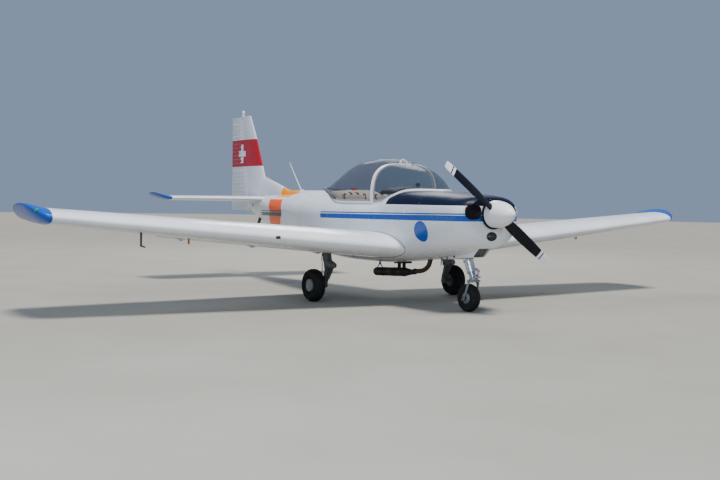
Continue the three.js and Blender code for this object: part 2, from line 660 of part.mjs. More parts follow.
function fin() {
  put("fin", cut(loft([FIN.baseZ, FIN.shoulderZ, FIN.topZ].map((z) => finOutline(z))), bodyGrown), WHITE);

  const rudderOutline = (z) => {
    const f = finAt(Math.max(z, FIN.baseZ));
    const axis = rudderAxisX(z);
    const r = finHalf(f, rudderAxisX(Math.max(z, FIN.baseZ)));
    const nose = Array.from({ length: 9 }, (_, i) => {
      const a = lerp(Math.PI / 2, -Math.PI / 2, i / 8);
      return V(axis + r * Math.cos(a), r * Math.sin(a), z);
    });
    return [...nose, V(lerp(axis, TAIL_X, 0.5), -r * 0.55, z), V(TAIL_X, -3, z), V(TAIL_X, 3, z),
      V(lerp(axis, TAIL_X, 0.5), r * 0.55, z)];
  };
  const rudder = join(
    loft([RUDDER_LOW_Z, FIN.shoulderZ, FIN.topZ - 8].map(rudderOutline)), rudderPin(RUDDER_PIN));
  put("rudder", rudder, WHITE);

  // Fillet from the spine up to the fin. Columns: x, highest z, half width at the foot.
  // Half width at the crest is the last column.
  const rows = [
    [-548, 1440, 86, 40],
    [-900, 1440, 74, 34],
    [-1300, 1441, 64, 26],
    [-1600, 1447, 58, 16],
    [-1900, 1518, 54, 9],
    [-2200, 1594, 52, 7],
    [-2474, 1662, 50, 6],
    [-2560, 1684, 40, 5],
  ];
  const outlines = rows.map(([x, top, foot, crest]) => {
    const half = [[foot, 1300], [foot * 0.92, 1390], [lerp(foot, crest, 0.55), lerp(1390, top, 0.7)],
      [crest, top]];
    return [...half.map(([y, z]) => V(x, y, z)), ...half.reverse().map(([y, z]) => V(x, -y, z))];
  });
  const finGrown = loft([1200, FIN.shoulderZ].map((z) => finOutline(z, 1)));
  spineSolid = cut(loft(outlines), bodyGrown, finGrown);
  put("spine_fairing", spineSolid, WHITE);

  const light = new THREE.Group();
  light.position.set(-3322, 0, FIN.topZ + SEAM);
  plane.add(light);
  const lamp = [[0, 0], [26, 0], [26, 12], [14, 20], [14, 50], [24, 58], [24, 84], [14, 97], [0, 100]];
  put("fin_top_light", new THREE.LatheGeometry(lamp.map(([r, z]) => new THREE.Vector2(r, z)), 16)
    .rotateX(Math.PI / 2), WHITE, light);
}

// Canopy that slides aft, with its hoop and rim frame
function canopy() {
  const hoopStations = [HOOP_X - HOOP_WIDTH, HOOP_X - 4];
  const hoop = shell(hoopStations.map((x) => arch(x, -3)), hoopStations.map((x) => arch(x, GLASS + 20)));
  const railStations = [...CANOPY_STATIONS, HOOP_X - HOOP_WIDTH + 2];
  const rails = [1, -1].map((side) => loft(railStations.map((x) => {
    const out = between(CANOPY, x)[1];
    const inside = Math.max(out - 26, -out + 2);
    const [low, high] = [rimZ(x, out), rimZ(x, inside)];
    return [V(x, side * (out + 3), low), V(x, side * (out + 1), low + RAIL_HEIGHT),
      V(x, side * inside, high + RAIL_HEIGHT), V(x, side * inside, high)];
  })));
  // Shoes that slide on the track, hung from the rim past the edge of the sill.
  const shoes = [1, -1].flatMap((side) => [
    sided(SHOE.from, SHOE.to, TRACK_Y.from + 2, TRACK_Y.to - 4, TRACK_Z.top + SEAM, SHOE.top, side),
    sided(SHOE.from, SHOE.to, TRACK_Y.from + 2, 482, SHOE.top - 8, SHOE.top, side)]);
  const frame = join(hoop, ...rails, ...shoes);
  put("canopy_frame", frame, WHITE);

  const glassStations = [...CANOPY_STATIONS, HOOP_X - HOOP_WIDTH - SEAM];
  const low = RAIL_HEIGHT - 6;
  const pane = shell(...[0, GLASS].map((inset) => glassStations.map((x) => arch(x, inset, low))));
  put("canopy_glass", largest(cut(pane, frame, frame.clone().translate(0, 0, SEAM))), CLEAR);

  for (const [label, side] of [["left", 1], ["right", -1]])
    put(`canopy_track_${label}`,
      sided(728, HOOP_X - 8, TRACK_Y.from, TRACK_Y.to, TRACK_Z.low, TRACK_Z.top, side), STEEL);
}

// Fixed windshield: a wrapped sheet between the hoop and a curve on the deck
const SHIELD = { footX: 1820, tipX: 2450, halfWidth: 496, bulge: 50, strip: 22 };
const SHIELD_AROUND = CANOPY_AROUND;

// Foot of the windshield on the deck: a blunt arrow in plan, with its sides along the sills.
function shieldFoot(i, inset) {
  const a = (Math.PI * i) / SHIELD_AROUND;
  const y = (SHIELD.halfWidth - inset) * Math.cos(a);
  const corner = (Math.abs(y) / (SHIELD.halfWidth - inset)) ** 12;
  const x = SHIELD.tipX - inset - Math.hypot(y, 40) + 40
    - corner * (SHIELD.tipX - SHIELD.footX - SHIELD.halfWidth + 38);
  return V(x, y, deck(x, y));
}

function shieldGrid(inset) {
  const top = arch(HOOP_X, inset, 12);
  return [0, 0.2, 0.4, 0.6, 0.8, 1].map((t) => top.map((p, i) => {
    const q = shieldFoot(i, inset);
    q.z += SHIELD.strip - 12;
    const bulge = SHIELD.bulge * Math.sin(Math.PI * t) * Math.sin((Math.PI * i) / SHIELD_AROUND) ** 0.7;
    return V(
      lerp(HOOP_X + HOOP_WIDTH + SEAM, q.x, t) + bulge * 0.3,
      lerp(p.y, q.y, t),
      lerp(p.z, q.z, t) + bulge);
  }));
}

function windshield() {
  const [from, to] = [HOOP_X + 2, HOOP_X + HOOP_WIDTH];
  const ring = (inset) => [from, to].map((x) => arch(HOOP_X, inset, -12).map((p) => V(x, p.y, p.z)));
  const foot = loft(Array.from({ length: SHIELD_AROUND + 1 }, (_, i) => {
    const [out, inn] = [shieldFoot(i, -6), shieldFoot(i, 24)];
    return [V(out.x, out.y, out.z - 12), V(out.x, out.y, out.z + 14),
      V(inn.x, inn.y, inn.z + SHIELD.strip), V(inn.x, inn.y, inn.z - 12)];
  }));
  const sills = [1, -1].map((side) => loft([HOOP_X + 4, SHIELD.footX + 16].map((x) => {
    const [out, inn] = [deck(x, 502), deck(x, 472)];
    return [V(x, side * 502, out - 12), V(x, side * 502, out + 14),
      V(x, side * 472, inn + SHIELD.strip), V(x, side * 472, inn - 12)];
  })));
  const frame = cut(join(foot, shell(ring(-3), ring(GLASS + 20)), ...sills), bodyGrown);
  put("windshield_frame", frame, WHITE);
  const pane = shell(shieldGrid(0), shieldGrid(GLASS));
  put("windshield_glass", largest(cut(pane, frame, frame.clone().translate(0, 0, SEAM), bodyGrown)), CLEAR);
}

// Engine: one plain block on a tube mount that stands on the firewall
const ENGINE = { from: 2670, to: 3180, half: 360, low: 905, high: 1295 };

function engine() {
  const core = block(ENGINE.from, ENGINE.to, -ENGINE.half, ENGINE.half, ENGINE.low, ENGINE.high);
  const shaft = rod(V(ENGINE.to - 20, 0, THRUST_Z), V(STARTER_RING.from - SEAM, 0, THRUST_Z), 55, 55, 20);
  const feet = [[230, 980], [-230, 980], [230, 1270], [-230, 1270]];
  const tubes = feet.map(([y, z]) => {
    const out = Math.sign(y) * 330;
    return keep(
      rod(V(ENGINE.from + 30, y, z), V(FIREWALL_X - 30, out, z > 1100 ? 1330 : 860), 16, 16, 8),
      block(FIREWALL_X + SEAM, 3000, -800, 800, 600, 1600));
  });
  put("engine_block", join(core, shaft, ...tubes), GREY);
}

// Propeller: columns are radius, chord, thickness and the angle of the blade from the disc
const BLADE = [
  [40, 92, 62, 58],
  [120, 104, 52, 50],
  [200, 124, 38, 40],
  [350, 146, 25, 30],
  [550, 142, 17, 22],
  [750, 128, 12, 17],
  [880, 112, 8, 14],
  [925, 98, 6, 13],
  [PROP.radius, 82, 4, 13],
];

function blade(grow = 0) {
  return loft(BLADE.map(([radius, chord, thick, angle]) => {
    const [c, s] = [Math.cos(rad(angle)), Math.sin(rad(angle))];
    return Array.from({ length: 12 }, (_, i) => {
      const a = (2 * Math.PI * i) / 12;
      const u = (chord / 2 + grow) * Math.cos(a);
      const v = (thick / 2 + grow) * Math.sin(a);
      return V(u * s + v * c, -u * c + v * s, radius);
    });
  }));
}

function propeller() {
  const spin = new THREE.Group();
  spin.position.set(0, 0, THRUST_Z);
  plane.add(spin);
  const blades = (grow) => [0, 1].map((k) =>
    blade(grow).translate(PROP.x, 0, 0).rotateX(PROP.restAngle + k * Math.PI));
  const disc = (from, to, radius, sides) => rod(V(from, 0, 0), V(to, 0, 0), radius, radius, sides);
  const hub = disc(STARTER_RING.from, PROP.x + 62, 66, 16);
  const ring = disc(STARTER_RING.from, STARTER_RING.to, STARTER_RING.radius, 32);
  const plate = disc(SPINNER.back, SPINNER.back + SPINNER.plate, SPINNER.radius - 1, 24);
  put("propeller", join(hub, ring, plate, ...blades(0)), BLACK, spin);

  // Spinner: a blunt dome over the hub, from [x, radius] pairs.
  const dome = [[0, 1], [0.2, 0.985], [0.42, 0.91], [0.62, 0.76], [0.79, 0.53], [0.91, 0.3], [1, 0]];
  const start = SPINNER.back + SPINNER.plate + SEAM;
  const long = NOSE_X - start;
  const [outer, inner] = [0, SPINNER.wall].map((inset) => dome.map(([t, r]) =>
    [r * (SPINNER.radius - inset), start + t * (long - inset)]));
  const profile = [...outer, ...inner.reverse()].map(([r, x]) => new THREE.Vector2(r, x));
  profile.push(profile[0].clone());
  const skin = closedLathe(profile, 24).rotateZ(-Math.PI / 2);
  put("spinner", cut(skin, ...blades(7)), WHITE, spin);
}

// A lathe about Y whose profile closes on itself or meets the axis, merged into one closed surface.
function closedLathe(profile, segments) {
  const g = new THREE.LatheGeometry(profile, segments);
  const place = g.getAttribute("position");
  const corners = Array.from({ length: place.count }, (_, i) => V().fromBufferAttribute(place, i));
  const triangles = [];
  for (let i = 0; i < g.index.count; i += 3)
    triangles.push([0, 1, 2].map((k) => g.index.getX(i + k)));
  return closed(corners, triangles);
}

// Wheels: tyre and rim about Y. A tyre's section is a rounded ring.
function tyreProfile({ radius, width, bead }) {
  const half = width / 2;
  const shoulder = [[radius, 0.34], [radius - 16, 0.8], [radius * 0.8, 1], [bead, 0.68]];
  return [...shoulder.map(([r, t]) => [r, t * half]), ...shoulder.reverse().map(([r, t]) => [r, -t * half])];
}

const WHEEL_SIDES = 24;

function wheel(name, x, y, size, axle, disc, face = 1) {
  const hub = new THREE.Group();
  hub.position.set(x, y, size.radius);
  plane.add(hub);
  const lathe = (pairs, n) => closedLathe([...pairs, pairs[0]].map(([r, t]) => new THREE.Vector2(r, t)), n);
  put(`${name}_tyre`, lathe(tyreProfile(size), WHEEL_SIDES), RUBBER, hub);
  const r = size.bead - SEAM;
  const half = size.width * 0.36;
  // Where a brake disc stands on the hub's inner side, a flat cover closes its outer side.
  const inner = disc
    ? [[axle, disc.from], [r * 0.92, disc.from], [r * 0.92, disc.to], [axle + 16, disc.to],
      [axle + 16, half * 0.6]]
    : [[axle, half * 0.8]];
  const outer = disc
    ? [[r * 0.96, -disc.cover], [axle, -disc.cover]]
    : [[r * 0.94, -half], [r * 0.88, -half * 0.35], [r * 0.45, -half * 0.8], [axle, -half * 0.8]];
  const rim = [...inner, [r * 0.45, half * 0.6], [r * 0.88, half * 0.35], [r * 0.94, half], [r, half],
    [r, -half], ...outer];
  put(`${name}_wheel`, lathe(rim.map(([radius, t]) => [radius, t * face]), WHEEL_SIDES), GREY, hub);
}

const LEG_Y = 950;
const AXLE_RADIUS = 19;
const NOSE_AXLE_RADIUS = 14;
const BRAKE_DISC = { from: 74, to: 66, cover: 68 }; // distances from the wheel's middle

function mainGear() {
  for (const [label, side] of [["left", 1], ["right", -1]]) {
    const y = (side * TRACK) / 2;
    wheel(`main_${label}`, MAIN_X, y, MAIN_TYRE, AXLE_RADIUS + PIN_PLAY, BRAKE_DISC, -side);

    // Cast leg with a forward knob, a trailing arm and the axle.
    const profile = [[1128, 700], [1266, 700], [1272, 600], [1290, 535], [1385, 505], [1402, 480],
      [1390, 440], [1270, 415], [1205, 440], [1160, 560]];
    const cast = slab(profile, side * LEG_Y - 38, side * LEG_Y + 38);
    const arm = slab([[1262, 460], [1272, 430], [1218, 235], [1212, 180], [1160, 168], [1144, 205],
      [1160, 245], [1212, 440]], side * (LEG_Y + 6) - 26, side * (LEG_Y + 6) + 26);
    const axle = rod(V(MAIN_X, side * (LEG_Y - 10), MAIN_TYRE.radius),
      V(MAIN_X, side * (TRACK / 2 + 64), MAIN_TYRE.radius), AXLE_RADIUS, AXLE_RADIUS, 20);
    const damper = rod(V(1372, side * LEG_Y, 468), V(1200, side * LEG_Y, 232), 24, 20, 12);
    const wingDown = wingSolids[label].clone().translate(0, 0, -SEAM);
    put(`main_leg_${label}`, cut(join(cast, arm, axle, damper), wingDown, wingSolids[label]), GREY);
  }
}

// A flat piece drawn in X and Z, from y0 to y1.
function slab(outline, y0, y1) {
  const shape = new THREE.Shape(outline.map(([x, z]) => new THREE.Vector2(x, z)));
  return new THREE.ExtrudeGeometry(shape, { depth: Math.abs(y1 - y0), bevelEnabled: false })
    .rotateX(Math.PI / 2).translate(0, Math.max(y0, y1), 0);
}

// Nose gear: a raked leg under the engine, and a fork that steers about the leg's axis
const RAKE = { top: V(2804, 0, ENGINE.low - SEAM), low: V(3050, 0, 380) };
const rakeAxis = RAKE.top.clone().sub(RAKE.low).normalize();
const onRake = (z) => RAKE.low.clone().addScaledVector(rakeAxis, (z - RAKE.low.z) / rakeAxis.z);

function noseGear() {
  wheel("nose", NOSE_GEAR_X, 0, NOSE_TYRE, NOSE_AXLE_RADIUS + PIN_PLAY);
  const leg = keep(
    rod(onRake(470), onRake(1010), 52, 52, 24),
    block(2600, 3200, -200, 200, 300, ENGINE.low - SEAM));
  const collar = rod(onRake(600), onRake(640), 66, 66, 24);
  put("nose_leg", join(leg, collar), STEEL);

  const piston = rod(onRake(372), onRake(470).addScaledVector(rakeAxis, -SEAM), 40, 40, 24);
  const yoke = rod(onRake(372), onRake(410), 58, 58, 24);
  // Each blade of the fork comes down from the yoke past the tyre to the axle.
  const gap = NOSE_TYRE.width / 2 + 8;
  const blades = [1, -1].map((side) => loft([
    [3075, 400, 30, 0],
    [3064, 378, 52, gap - 22],
    [3052, 330, 44, gap],
    [3020, 250, 40, gap],
    [2972, 168, 42, gap],
    [2950, 142, 26, gap],
  ].map(([x, z, wide, y]) => [
    V(x - wide * 0.9, side * y, z - wide * 0.4), V(x, side * y, z),
    V(x, side * (y + 16), z), V(x - wide * 0.9, side * (y + 16), z - wide * 0.4)])));
  const bridge = block(3010, 3078, -gap - 16, gap + 16, 362, 384);
  const axleAt = (y) => V(NOSE_GEAR_X, y, NOSE_TYRE.radius);
  const axle = rod(axleAt(-gap - 12), axleAt(gap + 12), NOSE_AXLE_RADIUS, NOSE_AXLE_RADIUS, 16);
  put("nose_fork", join(piston, yoke, bridge, ...blades, axle), WHITE);
}

// Exhaust: silencer under the belly, pipe up to the skin, wire hangers and a bracket
const CAN_REAR = V(890, 0, 341);
const CAN_FRONT = V(1620, 0, 382);

function exhaust() {
  const can = rod(CAN_REAR, CAN_FRONT, 58, 58, 14);
  const rearEnd = rod(V(868, 0, 340), CAN_REAR, 34, 58, 14);
  const frontEnd = rod(CAN_FRONT, V(1850, 0, 408), 58, 31, 14);
  const bends = [V(1840, 0, 407), V(1960, 0, 418), V(2060, 0, 446), V(2140, 0, 505), V(2185, 0, 610)];
  const pipe = tubeAlong(bends, 30, 8, 10);
  const wires = [1, -1].flatMap((side) => [
    rod(V(950, side * 50, 345), V(1100, side * 110, 540), 5, 5, 4),
    rod(V(1100, side * 50, 355), V(950, side * 110, 540), 5, 5, 4)]);
  const bracket = join(
    block(1430, 1700, -55, 55, 484, 520),
    ...[1470, 1580].map((x) => block(x - 4, x + 4, -30, 30, 400, 490)));
  put("exhaust", cut(join(can, rearEnd, frontEnd, pipe, ...wires, bracket), bodyGrown), SOOT);
}

// Cabin: floor-standing seats, sticks, console, panel and the shelf behind
function cabin() {
  const inner = hollow(BODY, INNER_STATIONS, SKIN + SEAM);
  const panel = keep(inner, block(1905, 1932, -600, 600, 1010, 1500));
  const hood = loft([1932, 1880].map((x) => Array.from({ length: 11 }, (_, i) => {
    const a = (Math.PI * i) / 10;
    return V(x, 400 * Math.cos(a), 1385 + 78 * Math.sin(a) ** 0.8);
  })));
  put("instrument_panel", join(panel, hood), BLACK);

  put("rear_shelf", keep(inner, join(
    block(CABIN_REAR_X + 6, 560, -600, 600, 1090, 1118),
    block(CABIN_REAR_X + 6, CABIN_REAR_X + 30, -600, 600, FLOOR_Z + SEAM, 1118))), BEIGE);
  put("centre_console", block(1010, 1900, -34, 34, FLOOR_Z + SEAM, 860), GREY);

  for (const [label, side] of [["left", 1], ["right", -1]]) {
    const y = side * 252;
    const base = block(840, 1300, y - 130, y + 130, FLOOR_Z + SEAM, 740);
    const pan = slab([[800, 722], [1330, 722], [1352, 800], [1330, 832], [900, 792], [780, 820]],
      y - 205, y + 205);
    const back = slab([[800, 760], [900, 760], [800, 1130], [742, 1385], [690, 1400], [660, 1380],
      [700, 1130]], y - 195, y + 195);
    put(`seat_${label}`, join(base, pan, back), BEIGE);

    const stick = rod(V(1500, y, FLOOR_Z + 8), V(1460, y, 960), 12, 12, 10);
    const grip = rod(V(1460, y, 950), V(1440, y, 1075), 18, 20, 12);
    const foot = block(1465, 1535, y - 35, y + 35, FLOOR_Z + SEAM, FLOOR_Z + 14);
    put(`stick_${label}`, join(stick, grip, foot), BLACK);
  }
}

// Small outer fittings
function fittings() {
  const whip = join(
    rod(V(-1200, 0, 1404), V(-1622, 0, 1876), 9, 4, 8),
    block(-1262, -1178, -22, 22, 1430, 1453));
  put("antenna", cut(whip, bodyGrown, spineSolid.clone().translate(0, 0, SEAM), spineSolid), WHITE);

  const skid = slab([[-2575, 1040], [-2640, 1040], [-2745, 862], [-2738, 838], [-2710, 840], [-2622, 955]],
    -14, 14);
  put("tail_skid", cut(skid, bodyGrown), BLACK);

  const pitotY = -3680;
  const top = V(1885, pitotY, 1000);
  const bend = V(1885, pitotY, 782);
  const pitot = join(
    rod(top, bend, 14, 11, 10),
    rod(bend.clone().add(V(-14, 0, 0)), V(2010, pitotY, 774), 11, 8, 10));
  put("pitot_tube", cut(pitot, wingSolids.right, wingSolids.right.clone().translate(0, 0, -SEAM)), STEEL);

  put("landing_light", lampRod(COWL_FRONT_X - 12, COWL_FRONT_X - 3, LAMP.radius), CLEAR);
}

fuselage();
cowling();
engine();
propeller();
wings();
mainGear();
noseGear();
tail();
fin();
canopy();
windshield();
cabin();
exhaust();
fittings();

export default plane;
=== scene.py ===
# %% [markdown]
# # A two-seat training aircraft
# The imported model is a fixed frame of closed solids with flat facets. This lesson dresses it: smooth
# skins are laid over the frame's own sections, painted, glazed and fitted with the small pieces that
# a mechanic would know. Metres throughout, +X forward, +Y to port, +Z up, ground at zero.

# %% Load the frame
from contextlib import contextmanager
from math import asin, copysign, cos, hypot, pi, radians, sin, sqrt, tau

import bpy
from mathutils import Matrix, Vector


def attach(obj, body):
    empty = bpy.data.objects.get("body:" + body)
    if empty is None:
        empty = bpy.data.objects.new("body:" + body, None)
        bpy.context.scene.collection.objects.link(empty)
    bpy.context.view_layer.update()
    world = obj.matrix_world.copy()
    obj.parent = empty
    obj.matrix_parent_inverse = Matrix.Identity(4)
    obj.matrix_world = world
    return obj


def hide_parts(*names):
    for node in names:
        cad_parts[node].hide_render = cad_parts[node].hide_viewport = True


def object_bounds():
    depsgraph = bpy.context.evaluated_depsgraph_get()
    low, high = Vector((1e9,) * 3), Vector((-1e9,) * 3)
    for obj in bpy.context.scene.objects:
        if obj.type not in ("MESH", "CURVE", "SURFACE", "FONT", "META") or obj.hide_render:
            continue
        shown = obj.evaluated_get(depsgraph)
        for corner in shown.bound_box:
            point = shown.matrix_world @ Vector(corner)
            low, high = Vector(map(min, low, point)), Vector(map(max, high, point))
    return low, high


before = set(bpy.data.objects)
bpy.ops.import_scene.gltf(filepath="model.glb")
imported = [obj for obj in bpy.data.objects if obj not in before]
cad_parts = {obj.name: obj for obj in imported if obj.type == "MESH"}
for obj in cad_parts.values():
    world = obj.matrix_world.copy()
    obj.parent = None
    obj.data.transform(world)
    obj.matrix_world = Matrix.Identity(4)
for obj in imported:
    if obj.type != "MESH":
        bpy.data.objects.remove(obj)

cad_low, cad_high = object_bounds()
print("frame box", [round(c, 3) for c in cad_low], [round(c, 3) for c in cad_high])

# %% [markdown]
# ## Working habits
# Operators act on all that is selected, so every step starts from an empty selection. Small helpers
# keep that habit: one picks a single piece, one opens it in edit mode, one applies a modifier, and the
# rest cut, join and mend with them. A place is written xyz(x, y, z).

# %% Selecting, editing, applying


def xyz(x, y, z):
    return Vector((x, y, z))


def pick(piece):
    bpy.ops.object.select_all(action="DESELECT")
    piece.select_set(True)
    bpy.context.view_layer.objects.active = piece
    return piece


@contextmanager
def editing(piece):
    pick(piece)
    bpy.ops.object.mode_set(mode="EDIT")
    bpy.ops.mesh.select_mode(type="VERT")
    bpy.ops.mesh.select_all(action="SELECT")
    yield
    bpy.ops.object.mode_set(mode="OBJECT")


def applied(piece, kind, **settings):
    modifier = piece.modifiers.new(kind.lower(), kind)
    for key, value in settings.items():
        setattr(modifier, key, value)
    pick(piece)
    bpy.ops.object.modifier_apply(modifier=modifier.name)
    return piece


def cut(piece, *tools, operation="DIFFERENCE", keep=False):
    for tool in tools:
        applied(piece, "BOOLEAN", operation=operation, solver="EXACT", object=tool)
        if not keep:
            bpy.data.objects.remove(tool)
    return piece


def joined(name, pieces):
    bpy.ops.object.select_all(action="DESELECT")
    for piece in pieces:
        piece.select_set(True)
    bpy.context.view_layer.objects.active = pieces[0]
    if len(pieces) > 1:
        bpy.ops.object.join()
    pieces[0].name = name
    return pieces[0]


def tidy_normals(piece):
    with editing(piece):
        bpy.ops.mesh.remove_doubles(threshold=1e-5)
        bpy.ops.mesh.normals_make_consistent(inside=False)
    return piece


# %% [markdown]
# ## Basic shapes
# Most of an aircraft is skin over frames. A skin is a grid primitive whose rows are laid on outlines,
# one outline for each station, and whose seam is merged. Turned pieces are spun from a profile, flat
# pieces are outlines pulled to a thickness.

# %% Skins, turned pieces, plates and rods
X_AXIS = xyz(1, 0, 0)
Y_AXIS = xyz(0, 1, 0)
Z_AXIS = xyz(0, 0, 1)


def loft(name, outlines, wrap=True):
    """Skins a row of outlines with equal point counts; a wrapped one is closed at both ends too."""
    count = len(outlines[0])
    around = count if wrap else count - 1
    along = len(outlines) - 1
    bpy.ops.mesh.primitive_grid_add(x_subdivisions=around, y_subdivisions=along, size=1)
    piece = bpy.context.object
    piece.name = name
    for vertex in piece.data.vertices:
        i = round((vertex.co.x + 0.5) * around)
        j = round((vertex.co.y + 0.5) * along)
        vertex.co = outlines[j][i % count]
    with editing(piece):
        bpy.ops.mesh.remove_doubles(threshold=1e-5)
        if wrap:
            bpy.ops.mesh.select_all(action="DESELECT")
            bpy.ops.mesh.select_non_manifold()
            bpy.ops.mesh.fill_holes(sides=0)
        bpy.ops.mesh.select_all(action="SELECT")
        bpy.ops.mesh.normals_make_consistent(inside=False)
    return piece


def turned(name, profile, centre, axis, steps=48):
    """Spins a closed profile of (radius, distance along the axis) pairs."""
    centre, axis = Vector(centre), Vector(axis).normalized()
    side = axis.orthogonal().normalized()
    bpy.ops.mesh.primitive_circle_add(vertices=len(profile), fill_type="NOTHING")
    piece = bpy.context.object
    piece.name = name
    for vertex, (radius, along) in zip(piece.data.vertices, profile):
        vertex.co = centre + side * radius + axis * along
    with editing(piece):
        bpy.ops.mesh.spin(steps=steps, angle=tau, center=centre, axis=axis)
        bpy.ops.mesh.select_all(action="SELECT")
        bpy.ops.mesh.remove_doubles(threshold=1e-5)
        bpy.ops.mesh.dissolve_degenerate(threshold=1e-6)
        bpy.ops.mesh.normals_make_consistent(inside=False)
    return piece


def plate(name, outline, pull, bevel=0.0, segments=2):
    """A flat outline of points, pulled along a vector, with its edges rounded."""
    bpy.ops.mesh.primitive_circle_add(vertices=len(outline), fill_type="NGON")
    piece = bpy.context.object
    piece.name = name
    for vertex, point in zip(piece.data.vertices, outline):
        vertex.co = point
    with editing(piece):
        bpy.ops.mesh.extrude_region_move(TRANSFORM_OT_translate={"value": pull})
        bpy.ops.mesh.select_all(action="SELECT")
        bpy.ops.mesh.normals_make_consistent(inside=False)
        if bevel:
            bpy.ops.mesh.bevel(offset=bevel, segments=segments, affect="EDGES")
    return piece


def block(name, low, high, bevel=0.004, segments=2):
    low, high = Vector(low), Vector(high)
    bpy.ops.mesh.primitive_cube_add(size=1)
    piece = bpy.context.object
    piece.name = name
    middle = (low + high) / 2
    for vertex in piece.data.vertices:
        vertex.co = Vector(c * s for c, s in zip(vertex.co, high - low)) + middle
    if bevel:
        with editing(piece):
            bpy.ops.mesh.bevel(offset=bevel, segments=segments, affect="EDGES")
    return piece


def rod(name, start, end, radius, end_radius=None, sides=20, bevel=0.0):
    """A round bar between two points, with its end edges broken by a small bevel."""
    start, end = Vector(start), Vector(end)
    along = end - start
    tip = radius if end_radius is None else end_radius
    bpy.ops.mesh.primitive_cone_add(vertices=sides, radius1=radius, radius2=tip, depth=along.length)
    piece = bpy.context.object
    piece.name = name
    turn = along.to_track_quat("Z", "Y").to_matrix().to_4x4()
    piece.data.transform(Matrix.Translation((start + end) / 2) @ turn)
    if bevel:
        with editing(piece):
            bpy.ops.mesh.select_all(action="DESELECT")
            bpy.ops.mesh.select_mode(type="FACE")
            bpy.ops.object.mode_set(mode="OBJECT")
            for face in piece.data.polygons:
                face.select = len(face.vertices) == sides
            bpy.ops.object.mode_set(mode="EDIT")
            bpy.ops.mesh.bevel(offset=bevel, segments=2, affect="EDGES")
    return piece


def tube(name, points, radius, sides=12, smooth=6):
    """A round bar along a smooth curve through some points."""
    points = [Vector(p) for p in points]
    path = smooth_path(points, smooth) if smooth > 1 else points
    outlines = []
    side = (path[1] - path[0]).orthogonal().normalized()
    for i, point in enumerate(path):
        ahead = (path[min(i + 1, len(path) - 1)] - path[max(i - 1, 0)]).normalized()
        side = (side - ahead * side.dot(ahead)).normalized()
        up = ahead.cross(side)
        outlines.append([point + (side * cos(a) + up * sin(a)) * radius
            for a in (tau * k / sides for k in range(sides))])
    return loft(name, outlines)


def smooth_path(points, steps):
    """Points on a smooth curve through the given ones."""
    path = []
    last = len(points) - 1
    for i in range(last):
        before = points[max(i - 1, 0)]
        a, b = points[i], points[i + 1]
        after = points[min(i + 2, last)]
        for k in range(steps):
            t = k / steps
            path.append(0.5 * (2 * a + (b - before) * t + (2 * before - 5 * a + 4 * b - after) * t * t
                + (3 * a - before - 3 * b + after) * t ** 3))
    return path + [points[-1]]


# %% [markdown]
# ## Handing a piece over
# Each finished piece rides on a body of the frame, names the finish it takes from the record and, if
# it stands for a solid, hides that solid. Its edges are smooth below a chosen angle.

# %% Dressing a piece


def dressed(piece, slot, node="", body="airframe", material=None, smooth=35):
    """Finishes a piece: its material is the usual one of its slot, unless another is named."""
    pick(piece)
    bpy.ops.object.shade_smooth_by_angle(angle=radians(smooth))
    piece.data.materials.clear()
    piece.data.materials.append(material or FINISHES[slot])
    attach(piece, body)
    if node:
        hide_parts(node)
    return piece


def mirrored(piece, name):
    """A copy on the other side of the aircraft, with its faces turned out again."""
    copy = piece.copy()
    copy.data = piece.data.copy()
    copy.name = name
    bpy.context.collection.objects.link(copy)
    copy.data.transform(Matrix.Scale(-1, 4, Y_AXIS))
    copy.data.flip_normals()
    return copy


# %% [markdown]
# ## Node recipes
# Paint schemes are masks: a height between two lines, a distance from a centre. A small wrapper keeps
# each recipe to a few readable lines. Every pattern is laid on Object coordinates, so it stays with
# its piece when the piece moves.

# %% A wrapper for shader nodes


